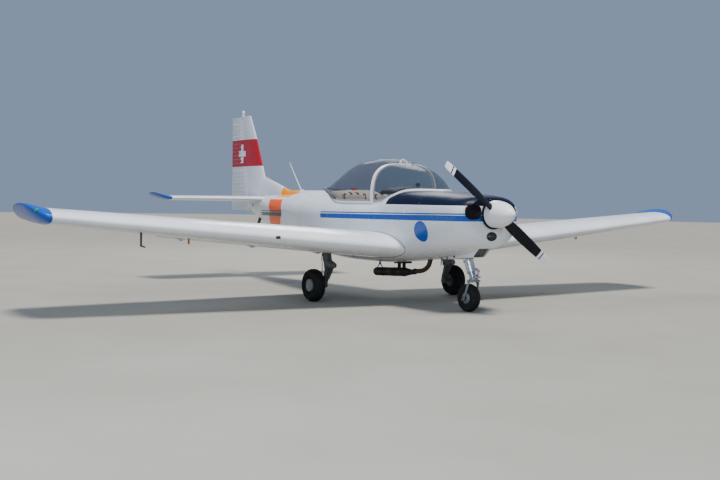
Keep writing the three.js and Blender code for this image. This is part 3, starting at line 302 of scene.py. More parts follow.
class Recipe:
    def __init__(self, name, **sockets):
        self.material = bpy.data.materials.new(name)
        self.material.use_nodes = True
        self.nodes = self.material.node_tree.nodes
        self.links = self.material.node_tree.links
        self.shader = self.nodes["Principled BSDF"]
        self.place = self.nodes.new("ShaderNodeTexCoord").outputs["Object"]
        for key, value in sockets.items():
            self.shader.inputs[key.replace("_", " ")].default_value = value
        self.axes = None

    def node(self, kind, inputs=(), **settings):
        node = self.nodes.new(kind)
        for key, value in settings.items():
            setattr(node, key, value)
        for key, value in dict(inputs).items():
            self.feed(node.inputs[key], value)
        return node

    def feed(self, socket, value):
        if isinstance(value, bpy.types.NodeSocket):
            self.links.new(value, socket)
        else:
            socket.default_value = value

    def math(self, operation, a, b=0.0, c=0.0):
        return self.node("ShaderNodeMath", {0: a, 1: b, 2: c}, operation=operation).outputs[0]

    def xyz(self):
        if self.axes is None:
            self.axes = self.node("ShaderNodeSeparateXYZ", {0: self.place}).outputs
        return self.axes

    def band(self, value, low, high):
        return self.math("COMPARE", value, (low + high) / 2, (high - low) / 2)

    def both(self, a, b):
        return self.math("MULTIPLY", a, b)

    def either(self, a, b):
        return self.math("MAXIMUM", a, b)

    def noise(self, scale, detail=3.0, roughness=0.5, stretch=(1, 1, 1)):
        moved = self.node("ShaderNodeMapping", {"Vector": self.place, "Scale": stretch}).outputs[0]
        return self.node("ShaderNodeTexNoise", {
            "Vector": moved, "Scale": scale, "Detail": detail, "Roughness": roughness}).outputs["Fac"]

    def ramp(self, value, low, high, to_low=0.0, to_high=1.0):
        return self.node("ShaderNodeMapRange", {
            "Value": value, "From Min": low, "From Max": high, "To Min": to_low,
            "To Max": to_high}).outputs[0]

    def mix(self, share, a, b):
        node = self.node("ShaderNodeMix", data_type="RGBA")
        for key, value in ((0, share), (6, a), (7, b)):
            self.feed(node.inputs[key], value)
        return node.outputs[2]

    def colour(self, value):
        self.feed(self.shader.inputs["Base Color"], value)

    def rough(self, value):
        self.feed(self.shader.inputs["Roughness"], value)

    def bump(self, height, distance, strength=1.0):
        node = self.node("ShaderNodeBump", {
            "Height": height, "Distance": distance, "Strength": strength})
        before = self.shader.inputs["Normal"].links
        if before:
            self.feed(node.inputs["Normal"], before[0].from_socket)
        self.feed(self.shader.inputs["Normal"], node.outputs[0])


def rgb(red, green, blue):
    return (red, green, blue, 1.0)


# %% [markdown]
# ## Camera
# The photograph was matched with a camera near head height, ahead of the starboard wing. The same
# place, lens and slight roll are used here, so the frame can be laid over the picture.

# %% Camera
CAMERA_PLACE = (12.354, -7.436, 1.338)
CAMERA_LENS = 50.03  # mm on a 36 mm sensor
CAMERA_HEADING = radians(57.91)
CAMERA_DIP = radians(2.405)
CAMERA_ROLL = radians(0.85)

lens = bpy.data.cameras.new("camera")
lens.lens = CAMERA_LENS
lens.sensor_width = 36
lens.clip_end = 200
camera = bpy.data.objects.new("camera", lens)
bpy.context.collection.objects.link(camera)
camera.matrix_world = (
    Matrix.Translation(CAMERA_PLACE)
    @ Matrix.Rotation(CAMERA_HEADING, 4, "Z")
    @ Matrix.Rotation(pi / 2 - CAMERA_DIP, 4, "X")
    @ Matrix.Rotation(CAMERA_ROLL, 4, "Z"))
bpy.context.scene.camera = camera

# %% [markdown]
# ## Stage
# A floor that curves up into a wall would show a fold in some views, so this one is a wide, pale disc
# under an even sky. A soft key from high above lights it evenly and leaves the sides and the underside
# in shade. Two weaker discs of light lift both ends.

# %% Floor and lights
FLOOR_RADIUS = 60.0

bpy.ops.object.select_all(action="DESELECT")
bpy.ops.mesh.primitive_circle_add(vertices=64, radius=FLOOR_RADIUS, fill_type="NGON")
floor = bpy.context.object
floor.name = "floor"
floor_paint = Recipe("floor", Roughness=0.9)
floor_paint.colour(floor_paint.mix(
    floor_paint.ramp(floor_paint.noise(0.8), 0.3, 0.7), rgb(0.305, 0.29, 0.25), rgb(0.335, 0.32, 0.28)))
floor.data.materials.append(floor_paint.material)

world = bpy.data.worlds.new("studio")
world.use_nodes = True
world.node_tree.nodes["Background"].inputs["Color"].default_value = rgb(0.5, 0.66, 0.95)
world.node_tree.nodes["Background"].inputs["Strength"].default_value = 0.46
bpy.context.scene.world = world


def soft_light(name, place, target, size, power, colour=(1, 1, 1)):
    light = bpy.data.lights.new(name, "AREA")
    light.shape = "DISK"
    light.size = size
    light.energy = power
    light.color = colour
    lamp = bpy.data.objects.new(name, light)
    bpy.context.collection.objects.link(lamp)
    lamp.location = place
    lamp.rotation_mode = "QUATERNION"
    lamp.rotation_quaternion = (Vector(target) - Vector(place)).to_track_quat("-Z", "Y")
    return lamp


sun = bpy.data.lights.new("key", "SUN")
sun.energy = 4.7
sun.angle = radians(14)
sun.color = (1.0, 0.97, 0.91)
key = bpy.data.objects.new("key", sun)
bpy.context.collection.objects.link(key)
key.rotation_mode = "QUATERNION"
key.rotation_quaternion = xyz(-0.34, 0.02, -1.0).to_track_quat("-Z", "Y")
soft_light("side", (10, -9, 5), (1.5, 0, 1.0), 5.0, 520, (0.74, 0.86, 1.0))
soft_light("back", (-9, 6, 8), (-0.5, 0, 1.0), 6.0, 600, (0.92, 0.96, 1.0))

# %% [markdown]
# ## Paints
# The skin carries hard, glossy enamel: a base coat under a clear one, never perfectly flat and never
# one even tone. The whole scheme is one recipe, because its lines run on from piece to piece: every
# mask is drawn on Object coordinates, and all pieces share one frame.

# %% Enamel and the paint scheme
WHITE, WHITE_SHADE = rgb(0.8, 0.82, 0.85), rgb(0.71, 0.745, 0.8)
BLUE = rgb(0.004, 0.08, 0.42)
NIGHT_BLUE = rgb(0.007, 0.011, 0.03)
TEAL = rgb(0.035, 0.075, 0.095)
ORANGE = rgb(0.94, 0.105, 0.001)
AMBER = rgb(0.98, 0.34, 0.002)
RED = rgb(0.5, 0.008, 0.02)


def enamel(name, light, dark, roughness=0.22, gloss=1.0):
    paint = Recipe(name, Roughness=roughness, Coat_Weight=0.2 * gloss, Coat_Roughness=0.05,
        Specular_IOR_Level=0.32 * gloss)
    cloudy = paint.ramp(paint.noise(1.7, 4.0, 0.6), 0.35, 0.65)
    paint.base = paint.mix(cloudy, light, dark)
    paint.colour(paint.base)
    paint.rough(paint.ramp(paint.noise(9.0, 5.0, 0.7), 0.3, 0.7, roughness - 0.05, roughness + 0.1))
    paint.bump(paint.noise(7.0, 2.0, 0.4), 0.0012, 0.35)
    return paint


def near(paint, a, b, centre_a, centre_b, radius):
    """1 inside a circle about a centre, on two of the three coordinates."""
    da = paint.math("SUBTRACT", a, centre_a)
    db = paint.math("SUBTRACT", b, centre_b)
    squares = paint.math("ADD", paint.math("MULTIPLY", da, da), paint.math("MULTIPLY", db, db))
    return paint.math("LESS_THAN", squares, radius * radius)


def scheme():
    paint = enamel("skin_paint", WHITE, WHITE_SHADE)
    x, _, z = paint.xyz()

    # A broad line with a thin one above it: blue along the nose, dark on the tail, bare between.
    level = paint.math("SUBTRACT", z, paint.math("MULTIPLY", x, 0.0106))
    half = paint.math("MULTIPLY_ADD", x, 0.001, 0.03)
    broad = paint.math("LESS_THAN", paint.math("ABSOLUTE", paint.math("SUBTRACT", level, 1.0857)), half)
    fine = paint.band(level, 1.1275, 1.1435)
    lines = paint.either(broad, fine)
    ahead = paint.both(lines, paint.math("GREATER_THAN", x, 0.3))
    astern = paint.both(lines, paint.band(x, -2.27, -1.24))

    # The orange band ends in a blunt arrow at both edges.
    arrow = paint.math("MULTIPLY_ADD", paint.math("ABSOLUTE", paint.math("SUBTRACT", z, 1.1)), 0.7, x)
    orange = paint.both(paint.band(arrow, -1.8, -1.22), paint.band(z, 0.86, 1.3))
    amber = paint.both(paint.band(x, -1.8, -1.215), paint.band(z, 1.335, 1.52))
    glare = paint.both(paint.math("GREATER_THAN", x, 1.93), paint.math("GREATER_THAN", z, 1.266))
    disc = near(paint, x, z, 2.66, 0.952, 0.124)
    red = paint.band(z, 1.845, 2.3)
    cross = paint.either(
        paint.both(paint.band(x, -3.348, -3.252), paint.band(z, 1.904, 2.222)),
        paint.both(paint.band(x, -3.44, -3.16), paint.band(z, 2.015, 2.111)))

    colour = paint.base
    for mask, tone in ((orange, ORANGE), (amber, AMBER), (ahead, BLUE), (astern, TEAL),
        (glare, NIGHT_BLUE), (disc, BLUE), (red, RED), (paint.both(red, cross), WHITE)):
        colour = paint.mix(mask, colour, tone)
    # The anti-glare panel ahead of the windshield is matt, and the day-glow bands shine little.
    dull = paint.either(glare, paint.either(orange, amber))
    paint.rough(paint.math("MAXIMUM", paint.shader.inputs["Roughness"].links[0].from_socket,
        paint.both(glare, 0.42)))
    paint.feed(paint.shader.inputs["Coat Weight"], paint.ramp(dull, 0.0, 1.0, 0.2, 0.03))
    paint.feed(paint.shader.inputs["Specular IOR Level"], paint.ramp(dull, 0.0, 1.0, 0.32, 0.12))
    paint.colour(colour)
    return paint.material


skin_paint = scheme()
white_paint = enamel("white_enamel", WHITE, WHITE_SHADE).material
blue_paint = enamel("blue_enamel", BLUE, rgb(0.01, 0.085, 0.4), gloss=0.35).material
spinner_paint = enamel("spinner_enamel", rgb(0.83, 0.84, 0.85), rgb(0.78, 0.79, 0.81), 0.16).material

# %% [markdown]
# ## Metals, rubber, glass and trim
# Bare parts differ in how they were made. A casting is grainy, a turned rod shows fine rings, an
# exhaust is stained by heat and a tyre is dull and dusty. Each finish gets its own grain, at its scale.

# %% Metals, rubber, glass and trim


def plain(name, light, dark, roughness, metal=0.0, scale=12.0, grain=120.0, depth=0.0006, **sockets):
    finish = Recipe(name, Metallic=metal, **sockets)
    finish.colour(finish.mix(finish.ramp(finish.noise(scale, 5.0, 0.65), 0.32, 0.68), light, dark))
    finish.rough(finish.ramp(finish.noise(scale * 2.3, 4.0), 0.3, 0.7, roughness - 0.08, roughness + 0.1))
    finish.bump(finish.noise(grain, 3.0, 0.6), depth, 0.6)
    return finish.material


# The castings' own dark grey, also used as painted shade on the inboard faces of the main rims.
cast_grey_and_shade = plain("cast_grey_and_shade", rgb(0.15, 0.155, 0.165), rgb(0.1, 0.104, 0.112), 0.5, 0.35, grain=260.0)
rim_grey = plain("rim_grey", rgb(0.3, 0.31, 0.32), rgb(0.22, 0.23, 0.24), 0.42, 0.3)
bright_steel = plain("bright_steel", rgb(0.6, 0.61, 0.63), rgb(0.48, 0.49, 0.52), 0.22, 1.0, depth=0.00015)
dark_steel = plain("dark_steel", rgb(0.1, 0.1, 0.11), rgb(0.06, 0.06, 0.065), 0.4, 0.8)
sooty_steel = plain("sooty_steel", rgb(0.03, 0.031, 0.036), rgb(0.062, 0.052, 0.046), 0.55, 0.6, 7.0)
rusty_steel = plain("rusty_steel", rgb(0.115, 0.062, 0.034), rgb(0.05, 0.034, 0.026), 0.6, 0.45, 9.0)
tyre_rubber = plain("tyre_rubber", rgb(0.01, 0.01, 0.011), rgb(0.022, 0.021, 0.02), 0.8, grain=160.0,
    Specular_IOR_Level=0.2)
black_rubber = plain("black_rubber", rgb(0.018, 0.018, 0.019), rgb(0.03, 0.03, 0.03), 0.6)
black_trim = plain("black_trim", rgb(0.016, 0.016, 0.018), rgb(0.028, 0.028, 0.03), 0.55, grain=420.0)
beige_trim = plain("beige_trim", rgb(0.56, 0.47, 0.37), rgb(0.49, 0.41, 0.32), 0.72, grain=520.0)
frame_paint = enamel("frame_enamel", rgb(0.82, 0.83, 0.84), rgb(0.76, 0.775, 0.8), 0.3).material
lamp_glass = plain("lamp_glass", rgb(0.72, 0.74, 0.76), rgb(0.62, 0.64, 0.66), 0.12, 0.5)
glazing = plain("glazing", rgb(0.085, 0.088, 0.125), rgb(0.065, 0.068, 0.1), 0.1, 0.0, 2.0, depth=0.0001,
    Alpha=0.27, IOR=1.49, Specular_IOR_Level=0.015)
shield_glazing = plain("shield_glazing", rgb(0.035, 0.06, 0.085), rgb(0.028, 0.048, 0.07), 0.08, 0.0, 2.0,
    depth=0.0001, Alpha=0.27, IOR=1.49, Specular_IOR_Level=0.02)
# The usual finish of each slot in the record.
FINISHES = {"white_paint": white_paint, "white_tail_paint": white_paint, "white_composite": skin_paint,
    "blue_composite": blue_paint, "spinner_white": spinner_paint, "frame_white": frame_paint,
    "bright_steel": bright_steel, "sooty_steel": sooty_steel, "gear_grey": black_rubber,
    "rim_grey": rim_grey, "tyre_black": tyre_rubber, "clear_glazing": glazing, "lamp_glass": lamp_glass,
    "black_paint": dark_steel, "black_trim": black_trim, "beige_trim": beige_trim}
SIDES = (("left", 1), ("right", -1))

# %% [markdown]
# ## Dressing helpers
# Much of an aircraft comes in pairs. The port piece is modelled, and its mirror image is made a mesh of
# its own for the starboard side.

# %% Pairs and second finishes


def pair(piece, name, slot, node="", body="airframe", **more):
    """Dresses a port piece and its starboard copy; the braces in the names take left and right."""
    copy = mirrored(piece, name.format("right"))
    piece.name = name.format("left")
    for side, half in (("left", piece), ("right", copy)):
        dressed(half, slot, node.format(side), body.format(side), **more)
    return piece, copy


def faced(piece, material, test):
    """Gives another finish to the faces whose middle passes a test."""
    piece.data.materials.append(material)
    last = len(piece.data.materials) - 1
    found = [face for face in piece.data.polygons if test(face.center)]
    for face in found:
        face.material_index = last
    print(piece.name, len(found), "faces in", material.name)


def node_finish(node, material):
    for slot in bpy.data.objects[node].material_slots:
        slot.material = material


# %% [markdown]
# ## The fuselage's sections
# Sheet-metal bodies are lofted through frames. Each frame here is half an ellipse above and half
# below its widest line, squared off by a power: 2 is round, 4 nearly a box. The frame rows repeat the
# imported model's own, and a smooth curve runs between them.

# %% Frames of the fuselage and the cowling
# Columns: station x, half width, lowest z, z of the greatest width, highest z, lower and upper power.
BODY = [
    (-2.95, 0.048, 1.092, 1.215, 1.332, 2.0, 2.0),
    (-2.6, 0.118, 0.99, 1.19, 1.345, 2.1, 2.0),
    (-2.03, 0.215, 0.845, 1.16, 1.366, 2.2, 2.0),
    (-1.3, 0.33, 0.69, 1.125, 1.396, 2.3, 2.0),
    (-0.55, 0.445, 0.566, 1.1, 1.424, 2.5, 2.0),
    (0.1, 0.522, 0.51, 1.095, 1.436, 2.7, 2.0),
    (0.7, 0.552, 0.49, 1.095, 1.44, 2.9, 2.1),
    (1.4, 0.562, 0.5, 1.1, 1.442, 3.0, 2.1),
    (1.75, 0.56, 0.526, 1.105, 1.445, 3.0, 2.2),
    (1.98, 0.556, 0.551, 1.11, 1.446, 3.0, 3.0),
    (2.15, 0.549, 0.573, 1.114, 1.445, 2.9, 3.8),
    (2.6, 0.524, 0.632, 1.122, 1.43, 2.75, 3.7),
]
COWL = [
    BODY[-1],
    (2.76, 0.512, 0.655, 1.125, 1.42, 2.7, 3.6),
    (3.05, 0.474, 0.705, 1.13, 1.402, 2.6, 3.3),
    (3.23, 0.455, 0.755, 1.135, 1.387, 2.5, 3.0),
    (3.32, 0.414, 0.8, 1.14, 1.374, 2.4, 2.7),
    (3.362, 0.348, 0.85, 1.15, 1.358, 2.3, 2.5),
]
TAIL_END, FIREWALL, COWL_FRONT = BODY[0][0], BODY[-1][0], COWL[-1][0]
THRUST_LINE = 1.175


def lerp(a, b, t):
    return a + (b - a) * t


def share(value, low, high):
    return (value - low) / (high - low)


def spaced(low, high, count):
    return [lerp(low, high, i / (count - 1)) for i in range(count)]


def between(rows, x):
    """The row at x, each column on a smooth curve through the table's rows."""
    last = len(rows) - 1
    i = min(max(next((k for k, row in enumerate(rows) if row[0] >= x), last), 1), last)
    a, b = rows[i - 1], rows[i]
    before, after = rows[max(i - 2, 0)], rows[min(i + 1, last)]
    t = share(x, a[0], b[0])
    step = b[0] - a[0]
    row = []
    for k in range(len(a)):
        slope_a = (b[k] - before[k]) / (b[0] - before[0]) * step
        slope_b = (after[k] - a[k]) / (after[0] - a[0]) * step
        row.append((2 * t ** 3 - 3 * t * t + 1) * a[k] + (t ** 3 - 2 * t * t + t) * slope_a
            + (3 * t * t - 2 * t ** 3) * b[k] + (t ** 3 - t * t) * slope_b)
    return row


def frame_row(x):
    return between(COWL if x > FIREWALL else BODY, x)


def squared(value, power):
    return copysign(abs(value) ** (2 / power), value)


def skin_point(x, angle, grow=0.0):
    """A point of the skin: angle 0 is to port, a quarter turn is the top."""
    _, half, low, wide, high, low_power, high_power = frame_row(x)
    c, s = cos(angle), sin(angle)
    power = high_power if s > 0 else low_power
    reach = (high - wide if s > 0 else wide - low) + grow
    return xyz(x, (half + grow) * squared(c, power), wide + reach * squared(s, power))


def hoop(x, grow=0.0, count=96):
    """The whole frame at x, its points bunched where the corners are tight."""
    return [skin_point(x, tau * (i + 0.5) / count, grow) for i in range(count)]


def deck(x, y):
    """Height of the upper skin at x and y."""
    _, half, _, wide, high, _, power = frame_row(x)
    t = min(abs(y) / half, 1)
    return wide + (high - wide) * (1 - t ** power) ** (1 / power)


# %% [markdown]
# ## Fuselage shell
# On the real aircraft thin sheets are riveted over frames, with a trimmed cabin inside. One smooth
# body is skinned through the frames; the cabin and the opening under the canopy are cut out of it,
# which leaves sills and walls as thick as the real skin with its trim.

# %% Chin scoop and its tail under the belly
# Columns: x of the upper edge, x of the lower edge, half width, lowest z.
SCOOP_TAIL = [(2.24, 2.24, 0.06, 0.594), (2.43, 2.43, 0.072, 0.597), (2.6, 2.6, 0.082, 0.604)]
SCOOP = [(2.6004, 2.6004, 0.082, 0.604), (2.72, 2.7, 0.088, 0.611), (2.96, 2.91, 0.092, 0.632),
    (3.24, 3.128, 0.094, 0.656)]
SCOOP_WALL, SCOOP_HEIGHT = 0.006, 0.112


def scoop_outline(row, inset=0.0):
    """A leaning frame of the scoop: a flat floor, round lower corners and upright sides."""
    top_x, low_x, half, low = row
    side, floor_z, corner = half - inset, low + inset, 0.026 - inset / 2
    flank = [(side - corner + corner * sin(a), floor_z + corner - corner * cos(a))
        for a in (pi / 2 * i / 6 for i in range(7))] + [(side, low + SCOOP_HEIGHT)]
    flank = [(lerp(low_x, top_x, share(z, low, low + SCOOP_HEIGHT)), y, z) for y, z in flank]
    return [xyz(x, -y, z) for x, y, z in reversed(flank)] + [Vector(point) for point in flank]


# %% Fuselage
WALL = 0.028
FLOOR = 0.64
CABIN_REAR = -0.42
BULKHEAD = 0.036

stations = spaced(TAIL_END, 1.75, 84) + spaced(1.79, FIREWALL, 26)
fuselage = loft("fuselage", [hoop(x) for x in stations])
cut(fuselage, loft("scoop_tail", [scoop_outline(between(SCOOP_TAIL, x))
    for x in spaced(2.24, FIREWALL, 14)]), operation="UNION")
cabin = loft("cabin_space", [hoop(x, -WALL, 64) for x in spaced(CABIN_REAR, FIREWALL - BULKHEAD, 40)])
cut(cabin, block("above_floor", (CABIN_REAR - 0.1, -0.7, FLOOR), (FIREWALL, 0.7, 1.6), bevel=0),
    operation="INTERSECT")

# Half outline of the opening in plan: pointed aft, straight sills, a round front.
sill = [(-0.47, 0.0), (-0.35, 0.062), (0.56, 0.44), (0.7, 0.468), (1.83, 0.468), (1.93, 0.44),
    (1.99, 0.34), (2.02, 0.0)]
opening = plate("opening", [xyz(x, y, 1.18) for x, y in sill]
    + [xyz(x, -y, 1.18) for x, y in sill[-2:0:-1]], (0, 0, 0.6))
cut(fuselage, cabin, opening)
tidy_normals(fuselage)
print("fuselage", len(fuselage.data.polygons), "faces")
dressed(fuselage, "white_paint", "fuselage_shell", material=skin_paint)


def inside(point, margin=0.006):
    """True for a point that lies deeper than the margin under the skin."""
    _, half, low, wide, high, low_power, high_power = frame_row(point.x)
    above = point.z > wide
    reach = (high - wide if above else wide - low) - margin
    power = high_power if above else low_power
    return abs(point.y / (half - margin)) ** power + abs((point.z - wide) / reach) ** power < 1


faced(fuselage, beige_trim, lambda centre: inside(centre) and CABIN_REAR < centre.x < FIREWALL - 0.01)

# %% [markdown]
# ## Cowling
# The cowling is a thin composite shell, split along a level line below the shaft. It is skinned like
# the body, hollowed, and cut for the shaft's ring, the two cheek inlets and the lamp in the chin.

# %% Cowling shells
COWL_WALL = 0.014
SPLIT = 1.15
SEAM = 0.0004
RING = 0.15
LAMP_Z, LAMP_RADIUS, LAMP_STRETCH = 0.914, 0.054, 1.45

cowl_stations = spaced(FIREWALL + SEAM, 3.2, 30) + spaced(3.215, 3.33, 14) + spaced(3.337, COWL_FRONT, 5)
cowl = loft("cowl", [hoop(x) for x in cowl_stations])
hollow = loft("cowl_space", [hoop(x, -COWL_WALL, 64) for x in [FIREWALL - 0.05]
    + spaced(2.7, COWL_FRONT - COWL_WALL, 24)])
cut(cowl, hollow, rod("shaft_ring", (3.3, 0, THRUST_LINE), (3.42, 0, THRUST_LINE), RING, sides=64))


def rounded_plan(low, high, corner, steps=6):
    """Outline of a rectangle with round corners, as pairs."""
    outline = []
    for k, (cx, cy) in enumerate(((high[0], high[1]), (low[0], high[1]), (low[0], low[1]),
        (high[0], low[1]))):
        sx, sy = (-1 if cx == high[0] else 1), (-1 if cy == high[1] else 1)
        for i in range(steps + 1):
            a = pi / 2 * (k + i / steps)
            outline.append((cx + sx * corner + corner * cos(a), cy + sy * corner + corner * sin(a)))
    return outline


for side in (1, -1):
    inlet = [(side * 0.27 + 0.112 * squared(cos(t), 2.7), 1.194 + 0.086 * squared(sin(t), 2.7))
        for t in (tau * (i + 0.5) / 48 for i in range(48))]
    cut(cowl, plate("inlet", [xyz(3.245, y, z) for y, z in inlet], (0.2, 0, 0)))

cowl_upper = pick(cowl).copy()
cowl_upper.data = cowl.data.copy()
bpy.context.collection.objects.link(cowl_upper)
cowl_upper.name = "cowl_upper"
cowl_lower = cowl
cowl_lower.name = "cowl_lower"
cut(cowl_upper, block("below", (2.5, -1, 0.4), (3.5, 1, SPLIT + 0.001), bevel=0))
lamp_hole = rod("lamp_hole", (3.3, 0, LAMP_Z), (3.42, 0, LAMP_Z), LAMP_RADIUS, sides=48)
lamp_hole.data.transform(Matrix.Scale(LAMP_STRETCH, 4, Y_AXIS))
leg_hole = plate("leg_hole", [xyz(x, y, 0.56) for x, y in rounded_plan((2.812, -0.078), (3.034, 0.078),
    0.06)], (0, 0, 0.2))
scoop = loft("scoop", [scoop_outline(between(SCOOP, x)) for x in spaced(SCOOP[0][0], SCOOP[-1][0], 20)])
mouth = loft("mouth", [scoop_outline((SCOOP[-1][0] + ahead, SCOOP[-1][1] + ahead, *SCOOP[-1][2:]),
    SCOOP_WALL) for ahead in (-0.045, 0.05)])
cut(scoop, mouth, keep=True)
cut(cowl_lower, block("above", (2.5, -1, SPLIT - 0.001), (3.5, 1, 1.6), bevel=0), lamp_hole)
cut(cowl_lower, scoop, operation="UNION")
cut(cowl_lower, leg_hole, mouth)
tidy_normals(cowl_upper)
tidy_normals(cowl_lower)
for half_cowl, node in ((cowl_upper, "cowling_upper"), (cowl_lower, "cowling_lower")):
    dressed(half_cowl, "white_composite", node)
    faced(half_cowl, black_trim, lambda centre: inside(centre, 0.004) and centre.x < COWL_FRONT - 0.004)


# %% Grille in the scoop's mouth
def mouth_point(y, height, back=0.03):
    """A point on the leaning face of the mouth; height runs from 0 at the floor to 1 at the lip above."""
    top_x, low_x, _, low = SCOOP[-1]
    return xyz(lerp(low_x, top_x, height) - back, y, low + SCOOP_HEIGHT * height)


wires = []
for k in range(11):
    y = lerp(-0.086, 0.086, k / 10)
    wires.append(rod("wire", mouth_point(y, 0.07), mouth_point(y, 1.0), 0.0011, sides=6))
for k in range(9):
    height = lerp(0.08, 1.0, k / 8)
    wires.append(rod("wire", mouth_point(-0.087, height, 0.0285), mouth_point(0.087, height, 0.0285),
        0.0011, sides=6))
fins = [plate("fin", [mouth_point(y, height, back) for height, back in (
    (0.06, 0.036), (0.98, 0.036), (0.98, 0.06), (0.06, 0.06))], (0.0016, 0.0028, 0.0))
    for y in spaced(-0.087, 0.084, 30)]
core_back = plate("core_back", [mouth_point(y, height, 0.052) for y, height in (
    (-0.087, 0.05), (0.087, 0.05), (0.087, 0.99), (-0.087, 0.99))], (-0.01, 0, 0))
dressed(joined("oil_cooler_core", [core_back, *fins]), "gear_grey")
grille_mesh = joined("scoop_grille", wires)
dressed(grille_mesh, "gear_grey", material=bright_steel)
drain = rod("scoop_drain", (2.776, -0.085, 0.655), (2.776, -0.0935, 0.655), 0.018, sides=32, bevel=0.001)
dressed(drain, "black_trim", material=black_rubber)
print("grille wires", len(wires))

# %% [markdown]
# ## Wings
# A low wing of thick laminar section, tapered and raised towards the tip. The section is the usual
# thickness formula laid on a slightly curved middle line. Aft of the hinge line the wing ends in a
# hollow that the flap's and the aileron's round nose turns in.

# %% Wing sections
WING_ROOT, WING_END, HALF_SPAN = 0.5, 4.65, 4.875
FLAP = (0.622, 3.044)
AILERON = (3.062, 4.548)
END_GAP = 0.012
RUN = 0.007
HINGE = 0.76
INCIDENCE = radians(2.5)
FLAP_DROOP, FLAP_DROP = radians(10), 0.042


def wing_at(y):
    t = share(y, WING_ROOT, WING_END)
    return {"y": y, "nose": (lerp(2.262, 1.962, t), lerp(0.735, 1.09, t)), "chord": lerp(1.88, 1.16, t),
        "thick": lerp(0.176, 0.155, t), "camber": 0.02, "tilt": INCIDENCE}


def half_thick(thick, x):
    return 5 * thick * (0.2969 * sqrt(x) - 0.126 * x - 0.3516 * x * x + 0.2843 * x ** 3 - 0.1036 * x ** 4)


def middle(camber, x):
    if x < 0.4:
        return camber / 0.16 * (0.8 * x - x * x)
    return camber / 0.36 * (0.2 + 0.8 * x - x * x)


def on_section(w, x, height):
    c, s = cos(w["tilt"]), sin(w["tilt"])
    dx, dz = x * w["chord"], height * w["chord"]
    return xyz(w["nose"][0] - dx * c - dz * s, w["y"], w["nose"][1] - dx * s + dz * c)


def upper_at(w, x):
    return on_section(w, x, middle(w["camber"], x) + half_thick(w["thick"], x))


def lower_at(w, x):
    return on_section(w, x, middle(w["camber"], x) - half_thick(w["thick"], x))


def axis_at(w, x):
    return on_section(w, x, middle(w["camber"], x))


NOSE_SHARES = [(i / 22) ** 2.1 * 0.69 for i in range(1, 23)]


def nose_half(w, hinge):
    """From the lower skin near the hinge, round the nose, to the upper skin."""
    shares = [s for s in NOSE_SHARES if s < hinge - 0.06]
    return ([lower_at(w, s) for s in reversed(shares)] + [on_section(w, 0, 0)]
        + [upper_at(w, s) for s in shares])


def fixed_outline(w, hinge, cove=9):
    r = half_thick(w["thick"], hinge) * w["chord"] + RUN
    centre = axis_at(w, hinge)
    lip = asin((r - RUN) / r) - 0.1
    turn = [lerp(lip, -lip, i / (cove - 1)) for i in range(cove)]
    return nose_half(w, hinge) + [centre + xyz(r * cos(a), 0, r * sin(a)) for a in turn]


def whole_outline(w, hinge):
    rear = (0.74, 0.82, 0.9, 0.995)
    return (nose_half(w, hinge) + [upper_at(w, s) for s in rear] + [axis_at(w, 0.998)]
        + [lower_at(w, s) for s in reversed(rear)])


def hinged_outline(w, hinge, edge=0.992):
    r = half_thick(w["thick"], hinge) * w["chord"]
    centre = axis_at(w, hinge)
    turn = [lerp(pi / 2, -pi / 2, i / 16) - w["tilt"] for i in range(17)]
    flats = [lerp(hinge, edge, t) for t in (0.3, 0.6)]
    return ([centre + xyz(r * cos(a), 0, r * sin(a)) for a in turn] + [lower_at(w, s) for s in flats]
        + [lower_at(w, edge), upper_at(w, edge)] + [upper_at(w, s) for s in reversed(flats)])


# %% Wing, tip, flap and aileron of the port side
body_core = loft("body_core", [hoop(x, SEAM, 96) for x in spaced(-0.6, FIREWALL, 60)])
wing = loft("wing_port", [
    whole_outline(wing_at(0.4), HINGE), whole_outline(wing_at(FLAP[0] - END_GAP), HINGE),
    fixed_outline(wing_at(FLAP[0] - END_GAP), HINGE), fixed_outline(wing_at(AILERON[1] + END_GAP), HINGE),
    whole_outline(wing_at(AILERON[1] + END_GAP), HINGE), whole_outline(wing_at(WING_END), HINGE)])
cut(wing, body_core)

# Columns of the tip: y, cut from the nose, cut from the tail, thinning, rise.
WING_TIP = [
    (WING_END + SEAM, 0, 0, 1, 0),
    (4.7, 0.014, 0.01, 0.97, 0.008),
    (4.76, 0.06, 0.062, 0.84, 0.034),
    (4.82, 0.15, 0.17, 0.58, 0.07),
    (4.858, 0.26, 0.3, 0.3, 0.098),
    (HALF_SPAN, 0.36, 0.4, 0.12, 0.112),
]


def tip_outline(row, section_at, hinge, thickest):
    y, cut_nose, cut_tail, thin, rise = row
    w = section_at(y)
    chord = w["chord"] - cut_nose - cut_tail
    w["thick"] = min(w["thick"] * thin * w["chord"] / chord, thickest)
    w["nose"] = (w["nose"][0] - cut_nose, w["nose"][1] + rise)
    w["chord"] = chord
    return whole_outline(w, hinge)


def smooth_rows(rows, count):
    return [rows[0]] + [tuple(between(rows, y)) for y in spaced(rows[0][0], rows[-1][0], count)[1:]]


wing_tip = loft("wing_tip_port", [tip_outline(row, wing_at, HINGE, 0.16)
    for row in smooth_rows(WING_TIP, 16)])
aileron = loft("aileron_port", [hinged_outline(wing_at(y), HINGE) for y in AILERON])
flap = loft("flap_port", [hinged_outline(wing_at(y), HINGE) for y in FLAP])


def flap_axis(y):
    ends = [lower_at(wing_at(end), 0.745) - xyz(0, 0, FLAP_DROP) for end in FLAP]
    return ends[0].lerp(ends[1], share(y, *FLAP))


inner, outer = flap_axis(FLAP[0]), flap_axis(FLAP[1])
droop = (Matrix.Translation(inner) @ Matrix.Rotation(-FLAP_DROOP, 4, (outer - inner).normalized())
    @ Matrix.Translation(-inner))
flap.data.transform(droop)

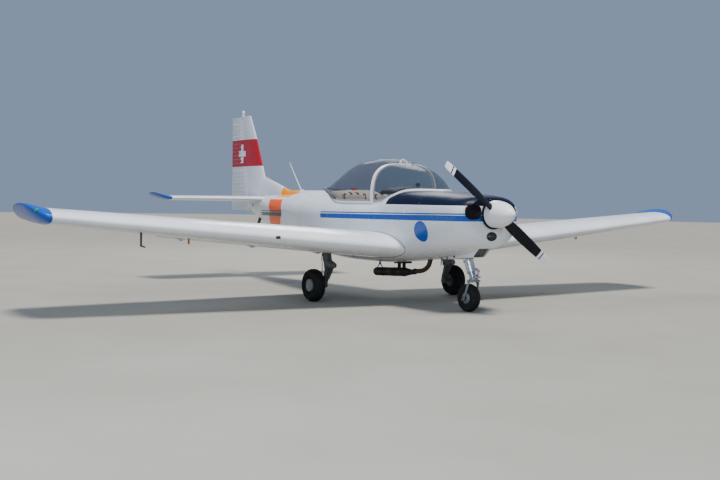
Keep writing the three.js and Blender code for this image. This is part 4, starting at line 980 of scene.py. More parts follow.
pair(wing, "wing_{}_skin", "white_paint", "wing_{}")
pair(wing_tip, "wing_{}_tip_shell", "blue_composite", "wing_tip_{}")
pair(aileron, "aileron_{}_skin", "white_paint", "aileron_{}", body="{}_aileron")
pair(flap, "flap_{}_skin", "white_paint", "flap_{}", body="{}_flap")

# %% [markdown]
# ## Tail
# The tailplane, the fin and their hinged halves are the same kind of thin symmetric section, laid
# flat or standing. The rudder's skin is stiffened by beads, shallow ribs pressed into the sheet.

# %% Tailplane and elevator of the port side
TAIL_Z, TAIL_END_Y, TAIL_HALF = 1.3, 1.66, 1.835
ELEVATOR_X, ELEVATOR_FROM = -2.862, 0.138


def tail_at(y):
    t = share(y, 0.12, TAIL_END_Y)
    nose = lerp(-2.29, -2.345, t)
    return {"y": y, "nose": (nose, TAIL_Z), "chord": nose - lerp(-3.215, -3.075, t),
        "thick": lerp(0.098, 0.1, t), "camber": 0, "tilt": 0}


def elevator_share(w):
    return (w["nose"][0] - ELEVATOR_X) / w["chord"]


def tail_outline(y, outline):
    w = tail_at(y)
    return outline(w, elevator_share(w))


tail_core = loft("tail_core", [hoop(x, SEAM, 96) for x in spaced(TAIL_END, -1.9, 30)])
tailplane = loft("tailplane_port", [tail_outline(y, lambda w, h: fixed_outline(w, min(h, 0.66)))
    for y in (0.078, TAIL_END_Y)])
cut(tailplane, tail_core, keep=True)
TAIL_TIP = [
    (TAIL_END_Y + SEAM, 0, 0, 1, 0),
    (1.71, 0.01, 0.01, 0.95, 0.008),
    (1.765, 0.06, 0.045, 0.78, 0.026),
    (1.81, 0.15, 0.1, 0.5, 0.052),
    (TAIL_HALF, 0.25, 0.15, 0.2, 0.074),
]
tail_tip = loft("tailplane_tip_port", [tip_outline(row, tail_at, 0.76, 0.1)
    for row in smooth_rows(TAIL_TIP, 14)])
elevator = loft("elevator_port", [tail_outline(y, hinged_outline)
    for y in (ELEVATOR_FROM, TAIL_END_Y - RUN)])

pair(tailplane, "tailplane_{}_skin", "white_tail_paint", "tailplane_{}")
pair(tail_tip, "tailplane_{}_tip_shell", "blue_composite", "tailplane_tip_{}")
pair(elevator, "elevator_{}_skin", "white_tail_paint", "elevator_{}", body="{}_elevator")

# %% Fin, rudder and the fillet along the spine
FIN_BASE, FIN_KNEE, FIN_SHOULDER, FIN_TOP = 1.322, 1.66, 2.37, 2.7
RUDDER_LOW = 1.098


def fin_nose(z):
    return -2.47 - (min(z, FIN_SHOULDER) - FIN_KNEE) * 0.507 - max(z - FIN_SHOULDER, 0) * 0.636


def rudder_axis(z):
    return -3.0 - (z - 1.1) * 0.225


def fin_half(z, x):
    nose = fin_nose(z)
    thick = lerp(0.064, 0.075, share(z, FIN_BASE, FIN_TOP))
    chord = nose - cad_low.x
    return half_thick(thick, share(x, nose, cad_low.x)) * chord


def fin_outline(z, grow=0.0, cove=9):
    nose, axis = fin_nose(z), rudder_axis(z)
    r = fin_half(z, axis) + RUN
    lip = asin((r - RUN) / r) - 0.1
    end = axis + r * cos(lip)
    xs = [lerp(nose, end, (i / 10) ** 2 * 0.7) for i in range(1, 11)]
    turn = [] if grow else [lerp(lip, -lip, i / (cove - 1)) for i in range(cove)]
    return ([xyz(nose + grow, 0, z)] + [xyz(x, fin_half(z, x) + grow, z) for x in xs]
        + [xyz(axis + r * cos(a), r * sin(a), z) for a in turn]
        + [xyz(x, -fin_half(z, x) - grow, z) for x in reversed(xs)])


def rudder_outline(z):
    axis = rudder_axis(z)
    r = fin_half(z, rudder_axis(max(z, FIN_BASE)))
    turn = [lerp(pi / 2, -pi / 2, i / 16) for i in range(17)]
    edge = cad_low.x
    return ([xyz(axis + r * cos(a), r * sin(a), z) for a in turn]
        + [xyz(lerp(axis, edge, 0.5), -r * 0.55, z), xyz(edge, -0.003, z), xyz(edge, 0.003, z),
        xyz(lerp(axis, edge, 0.5), r * 0.55, z)])


def bead(z, side):
    """A low rib pressed into the rudder's sheet, tapered to nothing at both ends."""
    rings = []
    for t in spaced(0.1, 0.94, 16):
        x = lerp(rudder_axis(z), cad_low.x, t)
        r = fin_half(z, rudder_axis(z))
        skin = lerp(r, r * 0.55, t / 0.5) if t < 0.5 else lerp(r * 0.55, 0.003, (t - 0.5) / 0.5)
        swell = min(1.0, (t - 0.1) / 0.06, (0.94 - t) / 0.06) * 0.96 + 0.04
        rings.append([xyz(x, side * (skin + 0.01 * swell * sin(a)), z + 0.013 * swell * cos(a))
            for a in (tau * k / 12 for k in range(12))])
    return loft("bead", rings)


fin = cut(loft("fin_skin", [fin_outline(z) for z in (FIN_BASE, FIN_SHOULDER, FIN_TOP)]), tail_core)
rudder = loft("rudder_skin", [rudder_outline(z) for z in (RUDDER_LOW, FIN_BASE, FIN_SHOULDER,
    FIN_TOP - 0.008)])

# Columns of the fillet: x, highest z, half width at its foot, half width at its crest.
SPINE = [
    (-0.548, 1.44, 0.086, 0.04),
    (-0.9, 1.44, 0.074, 0.034),
    (-1.3, 1.441, 0.064, 0.026),
    (-1.6, 1.447, 0.058, 0.016),
    (-1.9, 1.518, 0.054, 0.009),
    (-2.2, 1.594, 0.052, 0.007),
    (-2.474, 1.662, 0.05, 0.006),
    (-2.56, 1.684, 0.04, 0.005),
]


def spine_outline(x):
    _, top, foot, crest = between(SPINE[::-1], x)
    mid_y, mid_z = lerp(foot, crest, 0.55), lerp(1.39, top, 0.7)
    flank = [(foot, 1.3), (foot * 0.92, 1.39), (mid_y, mid_z), (crest, top - 0.004), (crest * 0.6, top)]
    return [xyz(x, y, z) for y, z in flank] + [xyz(x, -y, z) for y, z in reversed(flank)]


spine = loft("spine_skin", [spine_outline(x) for x in spaced(SPINE[-1][0], SPINE[0][0], 48)])
fin_core = loft("fin_core", [fin_outline(z, 0.001) for z in (FIN_BASE, FIN_SHOULDER)])
cut(spine, fin_core)
spine_core = loft("spine_core_body", [hoop(x, SEAM, 96) for x in spaced(TAIL_END, -0.3, 60)])
cut(spine, spine_core)
tidy_normals(spine)
beads = [bead(z, side) for z in spaced(1.38, 2.574, 19) if not 1.83 < z < 1.86 for side in (1, -1)]
rudder = joined("rudder_skin", [rudder, *beads])
print("rudder beads", len(beads))
dressed(fin, "white_tail_paint", "fin", material=skin_paint)
dressed(rudder, "white_tail_paint", "rudder", body="rudder_body", material=skin_paint)
dressed(spine, "white_paint", "spine_fairing", material=skin_paint)

# %% [markdown]
# ## Canopy
# The sliding canopy is one blown sheet of acrylic in a narrow frame of welded tube. The sheet is
# skinned through arches that stand on the deck's own height, then given its thickness. The frame is a
# hoop swept along the front arch and two rims swept along the sheet's feet.

# %% Arches of the canopy
# Columns: station x, half width at the rim, highest z, power of the arch.
CANOPY = [
    (-0.52, 0.014, 1.462, 2.0),
    (-0.33, 0.096, 1.487, 2.0),
    (-0.1, 0.196, 1.541, 2.05),
    (0.12, 0.296, 1.612, 2.1),
    (0.35, 0.394, 1.687, 2.15),
    (0.6, 0.476, 1.776, 2.3),
    (0.85, 0.5, 1.843, 2.5),
    (1.1, 0.503, 1.86, 2.7),
    (1.35, 0.505, 1.858, 2.95),
    (1.56, 0.505, 1.79, 3.4),
]
HOOP_X, HOOP_WIDE, GLASS, RAIL = 1.56, 0.034, 0.008, 0.024
ARCH_STEPS = 56


def smooth_step(value, low, high):
    t = min(max(share(value, low, high), 0), 1)
    return t * t * (3 - 2 * t)


def rim_z(x, y):
    return deck(x, y) + 0.01 + 0.022 * (1 - smooth_step(abs(y), 0.02, 0.12))


def arch(x, inset, lift=0.0, steps=ARCH_STEPS, at=None):
    """Points of one arch, port to starboard; at moves the whole arch to another station."""
    _, half, top, power = between(CANOPY, x)
    base = rim_z(x, half - inset) + lift
    points = []
    for i in range(steps + 1):
        c, s = cos(pi * i / steps), sin(pi * i / steps)
        points.append(xyz(x if at is None else at, (half - inset) * squared(c, power),
            base + (top - inset - base) * max(s, 0) ** (2 / power)))
    return points


def swept_arch(name, profile, x, lift):
    """A bar along the arch at x, its profile given as pairs of station and inset."""
    rows = [arch(x, inset, lift, at=station) for station, inset in profile]
    return loft(name, [[row[i] for row in rows] for i in range(ARCH_STEPS + 1)])


def soft_bar(near_x, far_x, out, deep, corner=0.005):
    """Profile of a bar with broken corners."""
    return [(near_x + corner, out), (far_x - corner, out), (far_x, out + corner), (far_x, deep - corner),
        (far_x - corner, deep), (near_x + corner, deep), (near_x, deep - corner), (near_x, out + corner)]


# %% Canopy sheet and frame
glass_stations = spaced(-0.52, 0.6, 40) + spaced(0.64, HOOP_X - HOOP_WIDE - SEAM, 24)
canopy_sheet = loft("canopy_sheet", [arch(x, 0.0, RAIL - 0.006) for x in glass_stations], wrap=False)
applied(canopy_sheet, "SOLIDIFY", thickness=GLASS - 0.002, offset=-1)
tidy_normals(canopy_sheet)
dressed(canopy_sheet, "clear_glazing", "canopy_glass", body="canopy", smooth=60)

hoop_bar = swept_arch("canopy_hoop", soft_bar(HOOP_X - HOOP_WIDE, HOOP_X - 0.004, -0.003, 0.026), HOOP_X, 0)


def rim_outline(x, side):
    out = between(CANOPY, x)[1]
    within = max(out - 0.026, 0.002 - out)
    low, high = rim_z(x, out), rim_z(x, within)
    return [xyz(x, side * (out + 0.003), low), xyz(x, side * (out + 0.003), low + RAIL * 0.7),
        xyz(x, side * (out + 0.001), low + RAIL), xyz(x, side * (within + 0.004), high + RAIL),
        xyz(x, side * within, high + RAIL - 0.004), xyz(x, side * within, high)]


rims = [loft("canopy_rim", [rim_outline(x, side) for x in glass_stations]) for side in (1, -1)]
SHOE, TRACK_TOP = (1.43, 1.52), 1.284
shoes = [block("shoe", (SHOE[0], min(a, b), low), (SHOE[1], max(a, b), 1.315), bevel=0.001)
    for side in (1, -1) for a, b, low in ((side * 0.454, side * 0.4636, TRACK_TOP + SEAM),
    (side * 0.454, side * 0.482, 1.307))]
canopy_frame = joined("canopy_frame_bars", [hoop_bar, *rims, *shoes])
dressed(canopy_frame, "frame_white", "canopy_frame", body="canopy")
rim_seal = plain("rim_seal", rgb(0.17, 0.17, 0.19), rgb(0.12, 0.12, 0.14), 0.55)
faced(canopy_frame, rim_seal, lambda centre: centre.x < HOOP_X - HOOP_WIDE - 0.004 and centre.z > 1.32)

for label, side in SIDES:
    low, high = sorted((side * 0.452, side * 0.4676))
    track = block("canopy_slide_" + label, (0.728, low, 1.262),
        (HOOP_X - 0.008, high, TRACK_TOP), bevel=0.002)
    dressed(track, "bright_steel", "canopy_track_" + label)

# %% [markdown]
# ## Windshield
# The fixed windshield wraps from the front hoop down to the deck and ends there in a blunt point. Its
# sheet runs between those two curves and swells a little between them, as a heated sheet does.

# %% Windshield sheet, hoop and foot strip
SHIELD_FOOT, SHIELD_TIP, SHIELD_HALF = 1.82, 2.45, 0.496
SHIELD_BULGE, SHIELD_STRIP = 0.05, 0.022


def shield_foot(i, inset):
    y = (SHIELD_HALF - inset) * cos(pi * i / ARCH_STEPS)
    corner = (abs(y) / (SHIELD_HALF - inset)) ** 12
    x = (SHIELD_TIP - inset - hypot(y, 0.04) + 0.04 - corner * (SHIELD_TIP - SHIELD_FOOT
        - SHIELD_HALF + 0.038))
    return xyz(x, y, deck(x, y))


def shield_row(t):
    points = []
    for i, top in enumerate(arch(HOOP_X, 0.0, 0.012)):
        foot = shield_foot(i, 0.0) + xyz(0, 0, SHIELD_STRIP - 0.012)
        bulge = SHIELD_BULGE * sin(pi * t) * max(sin(pi * i / ARCH_STEPS), 0) ** 0.7
        points.append(xyz(lerp(HOOP_X + HOOP_WIDE + SEAM, foot.x, t) + bulge * 0.3, lerp(top.y, foot.y, t),
            lerp(top.z, foot.z, t) + bulge))
    return points


shield_sheet = loft("windshield_sheet", [shield_row(t) for t in spaced(0, 1, 28)], wrap=False)
applied(shield_sheet, "SOLIDIFY", thickness=GLASS - 0.002, offset=-1)
tidy_normals(shield_sheet)
dressed(shield_sheet, "clear_glazing", "windshield_glass", material=shield_glazing, smooth=60)


def foot_outline(i):
    out, within = shield_foot(i, -0.006), shield_foot(i, 0.024)
    up = Z_AXIS
    return [out - up * 0.006, out + up * 0.01, lerp(out, within, 0.15) + up * 0.015,
        lerp(out, within, 0.85) + up * (SHIELD_STRIP + 0.002), within + up * (SHIELD_STRIP - 0.002),
        within - up * 0.012]


def sill_outline(x, side):
    out, within = deck(x, 0.502), deck(x, 0.472)
    return [xyz(x, side * y, z) for y, z in (
        (0.502, out - 0.01), (0.502, out + 0.01), (0.498, out + 0.015),
        (0.476, within + SHIELD_STRIP + 0.001), (0.472, within + SHIELD_STRIP - 0.002),
        (0.472, within - 0.012))]


foot_strip = loft("foot_strip", [foot_outline(i) for i in range(ARCH_STEPS + 1)])
shield_hoop = swept_arch("shield_hoop", soft_bar(HOOP_X + 0.002, HOOP_X + HOOP_WIDE, -0.003, 0.026),
    HOOP_X, -0.012)
sills = [loft("sill", [sill_outline(x, side) for x in spaced(HOOP_X + 0.004, SHIELD_FOOT + 0.016, 8)])
    for side in (1, -1)]
shield_frame = joined("windshield_frame_bars", [shield_hoop, foot_strip, *sills])
dressed(shield_frame, "frame_white", "windshield_frame")

# %% [markdown]
# ## Propeller and spinner
# A fixed-pitch propeller is carved from one blank: thick and steep at the hub, thin and flat at the
# tip. Its blades are lofted through turned sections. The spinner is spun sheet with a cut-out for
# each blade.

# %% Propeller
PROP_X, PROP_REST = 3.468, radians(53.7)
PROP_RADIUS = 0.94
SPINNER_BACK, SPINNER_RADIUS, SPINNER_WALL = 3.4, 0.158, 0.006
RING_FROM, RING_TO, RING_RADIUS = 3.37, 3.394, 0.178

# Columns: radius, chord, thickness, angle of the blade from the disc in degrees.
BLADE = [
    (0.04, 0.092, 0.062, 58),
    (0.12, 0.104, 0.052, 50),
    (0.2, 0.118, 0.038, 40),
    (0.35, 0.132, 0.025, 30),
    (0.55, 0.126, 0.017, 22),
    (0.75, 0.112, 0.012, 17),
    (0.88, 0.098, 0.008, 14),
    (0.925, 0.088, 0.006, 13),
    (PROP_RADIUS, 0.07, 0.004, 13),
]


def blade_outline(radius, turn, grow=0.0):
    _, chord, thick, angle = between(BLADE, radius)
    c, s = cos(radians(angle)), sin(radians(angle))
    spin = Matrix.Rotation(turn, 3, "X")
    outline = []
    for i in range(28):
        a = tau * i / 28
        u = (chord / 2 + grow) * cos(a)
        v = (thick / 2 + grow) * sin(a)
        outline.append(spin @ xyz(u * s + v * c, -u * c + v * s, radius) + xyz(PROP_X, 0, THRUST_LINE))
    return outline


def blades(grow=0.0, radii=spaced(0.04, 0.9, 36) + spaced(0.906, PROP_RADIUS, 10)):
    return [loft("blade", [blade_outline(radius, PROP_REST + half, grow) for radius in radii])
        for half in (0, pi)]


hub_centre = (0, 0, THRUST_LINE)
hub = turned("hub", [(0.0, 3.392), (0.064, 3.392), (0.066, 3.396), (0.066, 3.526), (0.062, 3.53),
    (0.0, 3.53)], hub_centre, X_AXIS)
back_plate = turned("back_plate", [(0.0, 3.4), (0.156, 3.4), (0.157, 3.402), (0.157, 3.405), (0.0, 3.405)],
    hub_centre, X_AXIS, 64)
propeller = joined("propeller_blades", [*blades(), hub, back_plate])


def blade_paint():
    """Near black, with a white tip and a white band inboard of it to show the disc's edge."""
    paint = enamel("propeller_paint", rgb(0.004, 0.005, 0.01), rgb(0.008, 0.009, 0.015), 0.36)
    paint.shader.inputs["Coat Weight"].default_value = 0.08
    paint.shader.inputs["Specular IOR Level"].default_value = 0.15
    _, across, up = paint.xyz()
    up = paint.math("SUBTRACT", up, THRUST_LINE)
    squares = paint.math("ADD", paint.math("MULTIPLY", across, across), paint.math("MULTIPLY", up, up))
    reach = paint.math("SQRT", squares)
    tips = paint.either(paint.math("GREATER_THAN", reach, 0.838), paint.band(reach, 0.785, 0.822))
    paint.colour(paint.mix(tips, paint.base, WHITE))
    return paint.material


dressed(propeller, "black_paint", "propeller", body="propeller_and_spinner",
    material=blade_paint(), smooth=50)

# %% Starter ring gear
TEETH, TOOTH = 118, 0.0045
tooth_steps = (0.0, 0.0, -1.0, -1.0)
toothed = []
for k in range(TEETH * 4):
    radius = RING_RADIUS + TOOTH * tooth_steps[k % 4]
    a = tau * (k + (0.2 if k % 2 else -0.2)) / (TEETH * 4)
    toothed.append(xyz(RING_TO - 0.009, radius * cos(a), THRUST_LINE + radius * sin(a)))
ring_teeth = plate("ring_teeth", toothed, (0.009, 0, 0))
ring_disc = turned("ring_disc", [(0.0, RING_FROM), (0.066, RING_FROM), (0.07, 3.378), (0.15, 3.382),
    (0.17, 3.38), (0.172, 3.384), (0.172, RING_TO), (0.158, RING_TO), (0.15, 3.39), (0.0, 3.392)],
    hub_centre, X_AXIS, 72)
dressed(joined("starter_ring_gear", [ring_disc, ring_teeth]), "black_paint",
    body="propeller_and_spinner", smooth=30)
print("ring gear teeth", TEETH)

# %% Spinner
DOME = [(0, 1), (0.2, 0.985), (0.42, 0.91), (0.62, 0.76), (0.79, 0.53), (0.91, 0.3), (1, 0)]
spinner_start = SPINNER_BACK + 0.005 + SEAM


def dome(inset, steps=6):
    long, radius = cad_high.x - spinner_start - inset, SPINNER_RADIUS - inset
    corners = [xyz(r * radius, spinner_start + t * long, 0) for t, r in DOME]
    return [(max(p.x, 0), p.y) for p in smooth_path(corners, steps)]


spinner = turned("spinner_shell", dome(0) + dome(SPINNER_WALL)[::-1], hub_centre, X_AXIS, 72)
cut(spinner, *blades(0.007, spaced(0.04, 0.26, 10)))
tidy_normals(spinner)
dressed(spinner, "spinner_white", "spinner", body="propeller_and_spinner", smooth=40)
print("spinner reaches", round(max(v.co.x for v in spinner.data.vertices), 4))

# %% [markdown]
# ## Hinges under the skin
# The flap hangs from arms on three brackets below the wing, the aileron and the elevator turn on a
# short tube, and the rudder stands on a pin. The plates are outlines in the side view, pulled to their
# thickness and with their edges broken.

# %% Flap brackets, arms, lug and pins
BRACKET_Y = (0.9, 1.88, 2.86)
PIN = 0.007


def side_plate(name, outline, y0, y1, bevel=0.0015, segments=2):
    return plate(name, [xyz(x, y0, z) for x, z in outline], (0, y1 - y0, 0), bevel, segments)


def flap_bracket(y):
    w, pin = wing_at(y), flap_axis(y)
    a, b = lower_at(w, 0.6), lower_at(w, 0.71)
    web = side_plate("web", [(a.x, a.z + 0.012), (b.x, b.z + 0.008), (pin.x - 0.016, pin.z + 0.004),
        (pin.x - 0.012, pin.z - 0.016), (pin.x + 0.016, pin.z - 0.016)], y - 0.005, y + 0.005)
    boss = rod("boss", pin + xyz(0, -0.007, 0), pin + xyz(0, 0.007, 0), 0.014, bevel=0.001)
    return [web, boss]


def flap_arm(y):
    w, pin = wing_at(y), flap_axis(y)
    a, b = lower_at(w, 0.8), lower_at(w, 0.88)
    web = side_plate("arm", [(a.x, a.z + 0.01), (b.x, b.z + 0.006), (pin.x - 0.014, pin.z - 0.013),
        (pin.x + 0.012, pin.z - 0.013), (pin.x + 0.012, pin.z + 0.012)], y + 0.011, y + 0.02)
    bolt = rod("bolt", flap_axis(y - 0.01), flap_axis(y + 0.022), PIN, sides=16, bevel=0.001)
    head = rod("head", flap_axis(y - 0.014), flap_axis(y - 0.01), 0.011, sides=6)
    return [web, bolt, head]


brackets = joined("flap_brackets", [part for y in BRACKET_Y for part in flap_bracket(y)])
pair(brackets, "flap_brackets_{}", "white_paint")
arms = joined("flap_arms", [part for y in BRACKET_Y for part in flap_arm(y)])
arms.data.transform(droop)
pair(arms, "flap_arms_{}", "white_paint", body="{}_flap")

LUG_Y, LUG_HOLE = 3.02, 0.012
lug_top = lower_at(wing_at(LUG_Y), 0.32)
lug = side_plate("lug", [(lug_top.x - 0.022, lug_top.z + 0.014), (lug_top.x + 0.022, lug_top.z + 0.014),
    (lug_top.x + 0.022, lug_top.z - 0.05), (lug_top.x + 0.01, lug_top.z - 0.062),
    (lug_top.x - 0.01, lug_top.z - 0.062), (lug_top.x - 0.022, lug_top.z - 0.05)],
    LUG_Y - 0.005, LUG_Y + 0.005)
eye = lug_top - xyz(0, 0, 0.038)
cut(lug, rod("eye", eye - Y_AXIS * 0.02, eye + Y_AXIS * 0.02, LUG_HOLE, sides=24))
pair(lug, "tie_down_lug_{}", "white_paint", material=plain("lug_orange", rgb(0.62, 0.16, 0.03),
    rgb(0.5, 0.12, 0.02), 0.45))

aileron_pin = rod("aileron_pin", axis_at(wing_at(AILERON[1] - 0.02), HINGE),
    axis_at(wing_at(AILERON[1] + END_GAP - 0.001), HINGE), 0.014)
pair(aileron_pin, "aileron_pin_{}", "white_paint", body="{}_aileron", material=bright_steel)
torque_tube = rod("torque_tube", (ELEVATOR_X, 0.034, TAIL_Z), (ELEVATOR_X, 0.16, TAIL_Z), 0.014, sides=24)
pair(torque_tube, "elevator_tube_{}", "white_tail_paint", body="{}_elevator")

rudder_pin = rod("rudder_pin", (rudder_axis(1.14), 0, 1.14), (rudder_axis(1.066), 0, 1.066),
    0.01, bevel=0.001)
dressed(rudder_pin, "bright_steel", body="rudder_body")
bearing = plate("rudder_bearing",
    [xyz(x, y, 1.07) for x, y in rounded_plan((-3.024, -0.024), (-2.85, 0.024), 0.012)],
    (0, 0, 0.016), 0.0015)
cut(bearing, rod("pin_hole", (rudder_axis(1.1), 0, 1.1), (rudder_axis(1.06), 0, 1.06), 0.0108, sides=24))
dressed(bearing, "white_paint")

# %% [markdown]
# ## Wheels
# Each tyre is spun from its own section: a crown with worn grooves, a shoulder, a bulging wall and a
# bead on the rim. The rim is a split casting with bolts; the main ones carry a brake disc inboard.

# %% Tyres and rims
MAIN_X, TRACK, NOSE_GEAR_X = 1.18, 2.25, 2.96
MAIN_TYRE = {"radius": 0.21, "width": 0.15, "bead": 0.084, "grooves": (-0.034, -0.012, 0.012, 0.034)}
NOSE_TYRE = {"radius": 0.168, "width": 0.124, "bead": 0.068, "grooves": (-0.024, 0.0, 0.024)}
GROOVE, GROOVE_DEEP = 0.0045, 0.0045


def tyre(name, place, radius, width, bead, grooves):
    half = width / 2

    def crown(t):
        return radius - 0.016 * (abs(t) / (0.8 * half)) ** 3.2

    tread = []
    for t in grooves:
        tread += [(crown(t - GROOVE / 2), t - GROOVE / 2), (crown(t) - GROOVE_DEEP, t - GROOVE / 4),
            (crown(t) - GROOVE_DEEP, t + GROOVE / 4), (crown(t + GROOVE / 2), t + GROOVE / 2)]
    edge = 0.76 * half
    tread = [(crown(edge), -edge)] + tread + [(crown(edge), edge)]
    wall = smooth_path([xyz(crown(edge), edge, 0), xyz(radius * 0.865, half * 0.97, 0),
        xyz(radius * 0.76, half, 0), xyz(radius * 0.6, half * 0.93, 0), xyz(bead + 0.01, half * 0.74, 0),
        xyz(bead, half * 0.64, 0)], 5)
    right_wall = [(p.x, p.y) for p in wall[1:]]
    left_wall = [(r, -t) for r, t in reversed(right_wall)]
    return turned(name, left_wall + tread + right_wall, place, Y_AXIS, 84)


def main_rim(name, place, width, bead, axle, bolts=8):
    """A rim closed outboard by a flat pressed cover, with the brake disc inboard."""
    r, half, face = bead - SEAM, width * 0.36, 0.068
    body = turned("casting", [
        (axle, -0.06), (r * 0.45, -half * 0.62), (r * 0.86, -half * 0.38), (r * 0.92, -half * 0.9),
        (r * 0.94, -half), (r, -half), (r, half), (r * 0.985, half + 0.004), (r * 0.97, half),
        (r * 0.95, half - 0.01), (axle, half - 0.01)], place, Y_AXIS, 60)
    disc = turned("brake_disc", [(axle, -0.074), (r * 0.92, -0.074), (r * 0.92, -0.066), (0.04, -0.066),
        (0.036, -0.03), (axle, -0.03)], place, Y_AXIS, 48)
    cover = turned("cover", [
        (0.0, face - 0.02), (r * 0.93, face - 0.02), (r * 0.95, face - 0.01), (r * 0.945, face - 0.003),
        (r * 0.93, face), (r * 0.8, face), (r * 0.77, face - 0.003), (r * 0.52, face - 0.003),
        (r * 0.49, face), (r * 0.22, face), (r * 0.2, face - 0.004), (0.0, face - 0.004)],
        place, Y_AXIS, 60)
    place = Vector(place)
    screws = []
    for k in range(bolts):
        a = tau * (k + 0.5) / bolts
        at = place + xyz(cos(a), 0, sin(a)) * r * 0.865
        screws.append(rod("screw", at + Y_AXIS * (face - 0.004), at + Y_AXIS * (face + 0.0018),
            0.0032, sides=12))
    return joined(name, [body, disc, cover, *screws])


def rim(name, place, width, bead, axle, bolts=6):
    r, half = bead - SEAM, width * 0.36
    profile = [
        (axle, -half * 0.8), (r * 0.45, -half * 0.62), (r * 0.86, -half * 0.38), (r * 0.92, -half * 0.9),
        (r * 0.94, -half), (r, -half), (r, half), (r * 0.94, half), (r * 0.92, half * 0.9),
        (r * 0.88, half * 0.36), (r * 0.8, half * 0.3), (r * 0.5, half * 0.56), (r * 0.44, half * 0.8),
        (axle, half * 0.8)]
    body = turned("casting", profile, place, Y_AXIS, 60)
    place = Vector(place)
    parts = [body]
    for k in range(bolts):
        a = tau * k / bolts
        at = place + xyz(cos(a), 0, sin(a)) * r * 0.66
        parts.append(rod("bolt", at + Y_AXIS * half * 0.3, at + Y_AXIS * (half * 0.45 + 0.006),
            0.0055, sides=6))
    valve = place + xyz(0.0, half * 0.2, r * 0.8)
    parts.append(rod("valve", valve, valve + xyz(0, 0.022, -0.004), 0.0035, sides=10))
    parts.append(turned("cap", [(0.0, half * 0.8), (r * 0.3, half * 0.8), (r * 0.29, half * 0.92),
        (r * 0.2, half * 0.99), (0.0, half * 1.01)], place, Y_AXIS, 32))
    return joined(name, parts)


main_place = (MAIN_X, TRACK / 2, MAIN_TYRE["radius"])
pair(tyre("main_tyre", main_place, **MAIN_TYRE), "main_{}_tread", "tyre_black", "main_{}_tyre",
    body="{}_main_wheel", smooth=32)
rim_size = {key: MAIN_TYRE[key] for key in ("width", "bead")}
# The inboard faces of each main rim, brake disc included, are darkened with the cast grey as painted shade.
for main_wheel in pair(main_rim("main_rim", main_place, axle=0.0198, **rim_size), "main_{}_rim",
    "rim_grey", "main_{}_wheel", body="{}_main_wheel"):
    faced(main_wheel, cast_grey_and_shade, lambda centre: abs(centre.y) < TRACK / 2 - 0.02)

nose_place = (NOSE_GEAR_X, 0, NOSE_TYRE["radius"])
dressed(tyre("nose_tread", nose_place, **NOSE_TYRE), "tyre_black", "nose_tyre",
    body="nose_wheel_body", smooth=32)
rim_size = {key: NOSE_TYRE[key] for key in ("width", "bead")}
dressed(rim("nose_rim", nose_place, axle=0.0148, **rim_size), "rim_grey", "nose_wheel",
    body="nose_wheel_body")

# %% [markdown]
# ## Main legs
# Each main leg is a casting bolted under the spar, with a trailing arm that carries the axle and a
# rubber-sprung strut between the two. The brake caliper grips the disc behind the axle.

# %% Main leg of the port side
LEG_Y, AXLE_Z = 0.95, MAIN_TYRE["radius"]
CAST = [(1.128, 0.7), (1.266, 0.7), (1.272, 0.6), (1.29, 0.535), (1.385, 0.505), (1.402, 0.48),
    (1.39, 0.44), (1.27, 0.415), (1.205, 0.44), (1.16, 0.56)]
ARM = [(1.262, 0.46), (1.272, 0.43), (1.218, 0.235), (1.212, 0.18), (1.16, 0.168), (1.144, 0.205),
    (1.16, 0.245), (1.212, 0.44)]


def side_rod(name, start, end, radius, **more):
    """A round bar given by its end points in the side view, on the leg's own plane."""
    return rod(name, (start[0], LEG_Y, start[1]), (end[0], LEG_Y, end[1]), radius, **more)


casting = side_plate("casting", CAST, LEG_Y - 0.038, LEG_Y + 0.038, 0.012, 3)
arm = side_plate("arm", ARM, LEG_Y - 0.02, LEG_Y + 0.032, 0.009, 3)
pivot = rod("pivot", (1.24, LEG_Y - 0.046, 0.444), (1.24, LEG_Y + 0.046, 0.444), 0.024, bevel=0.003)
knob = rod("knob", (1.368, LEG_Y - 0.044, 0.472), (1.368, LEG_Y + 0.044, 0.472), 0.028, bevel=0.004)
axle = rod("axle", (MAIN_X, LEG_Y - 0.01, AXLE_Z), (MAIN_X, TRACK / 2 + 0.046, AXLE_Z), 0.019, sides=24)
flange = rod("flange", (MAIN_X, LEG_Y + 0.03, AXLE_Z), (MAIN_X, LEG_Y + 0.046, AXLE_Z), 0.04, bevel=0.003)
strut = side_rod("strut", (1.366, 0.466), (1.206, 0.24), 0.016)
bellows = [side_rod("fold", (lerp(1.356, 1.244, t), lerp(0.45, 0.294, t)),
    (lerp(1.356, 1.244, t + 0.07), lerp(0.45, 0.294, t + 0.07)), 0.0235, bevel=0.004)
    for t in spaced(0.0, 0.9, 10)]
caliper = plate("caliper", [xyz(x, 1.125 - 0.088, z) for x, z in rounded_plan((1.068, 0.18),
    (1.128, 0.262), 0.012)], (0, 0.034, 0), 0.004)
caliper_arm = side_plate("caliper_arm", [(1.215, 0.196), (1.215, 0.236), (1.11, 0.24), (1.11, 0.2)],
    1.0, 1.014, 0.003)
bolts = [rod("bolt", (x, LEG_Y + 0.036, z), (x, LEG_Y + 0.046, z), 0.009, sides=6)
    for x, z in ((1.16, 0.6), (1.236, 0.6), (1.19, 0.54), (1.26, 0.52))]
under_wing = loft("under_wing", [whole_outline(wing_at(y), HINGE) for y in (0.85, 1.05)])
cut(casting, under_wing)
leg = joined("main_leg", [casting, arm, pivot, knob, axle, flange, strut, *bellows, caliper,
    caliper_arm, *bolts])
pair(leg, "main_leg_{}_castings", "gear_grey", "main_leg_{}", material=cast_grey_and_shade, smooth=40)

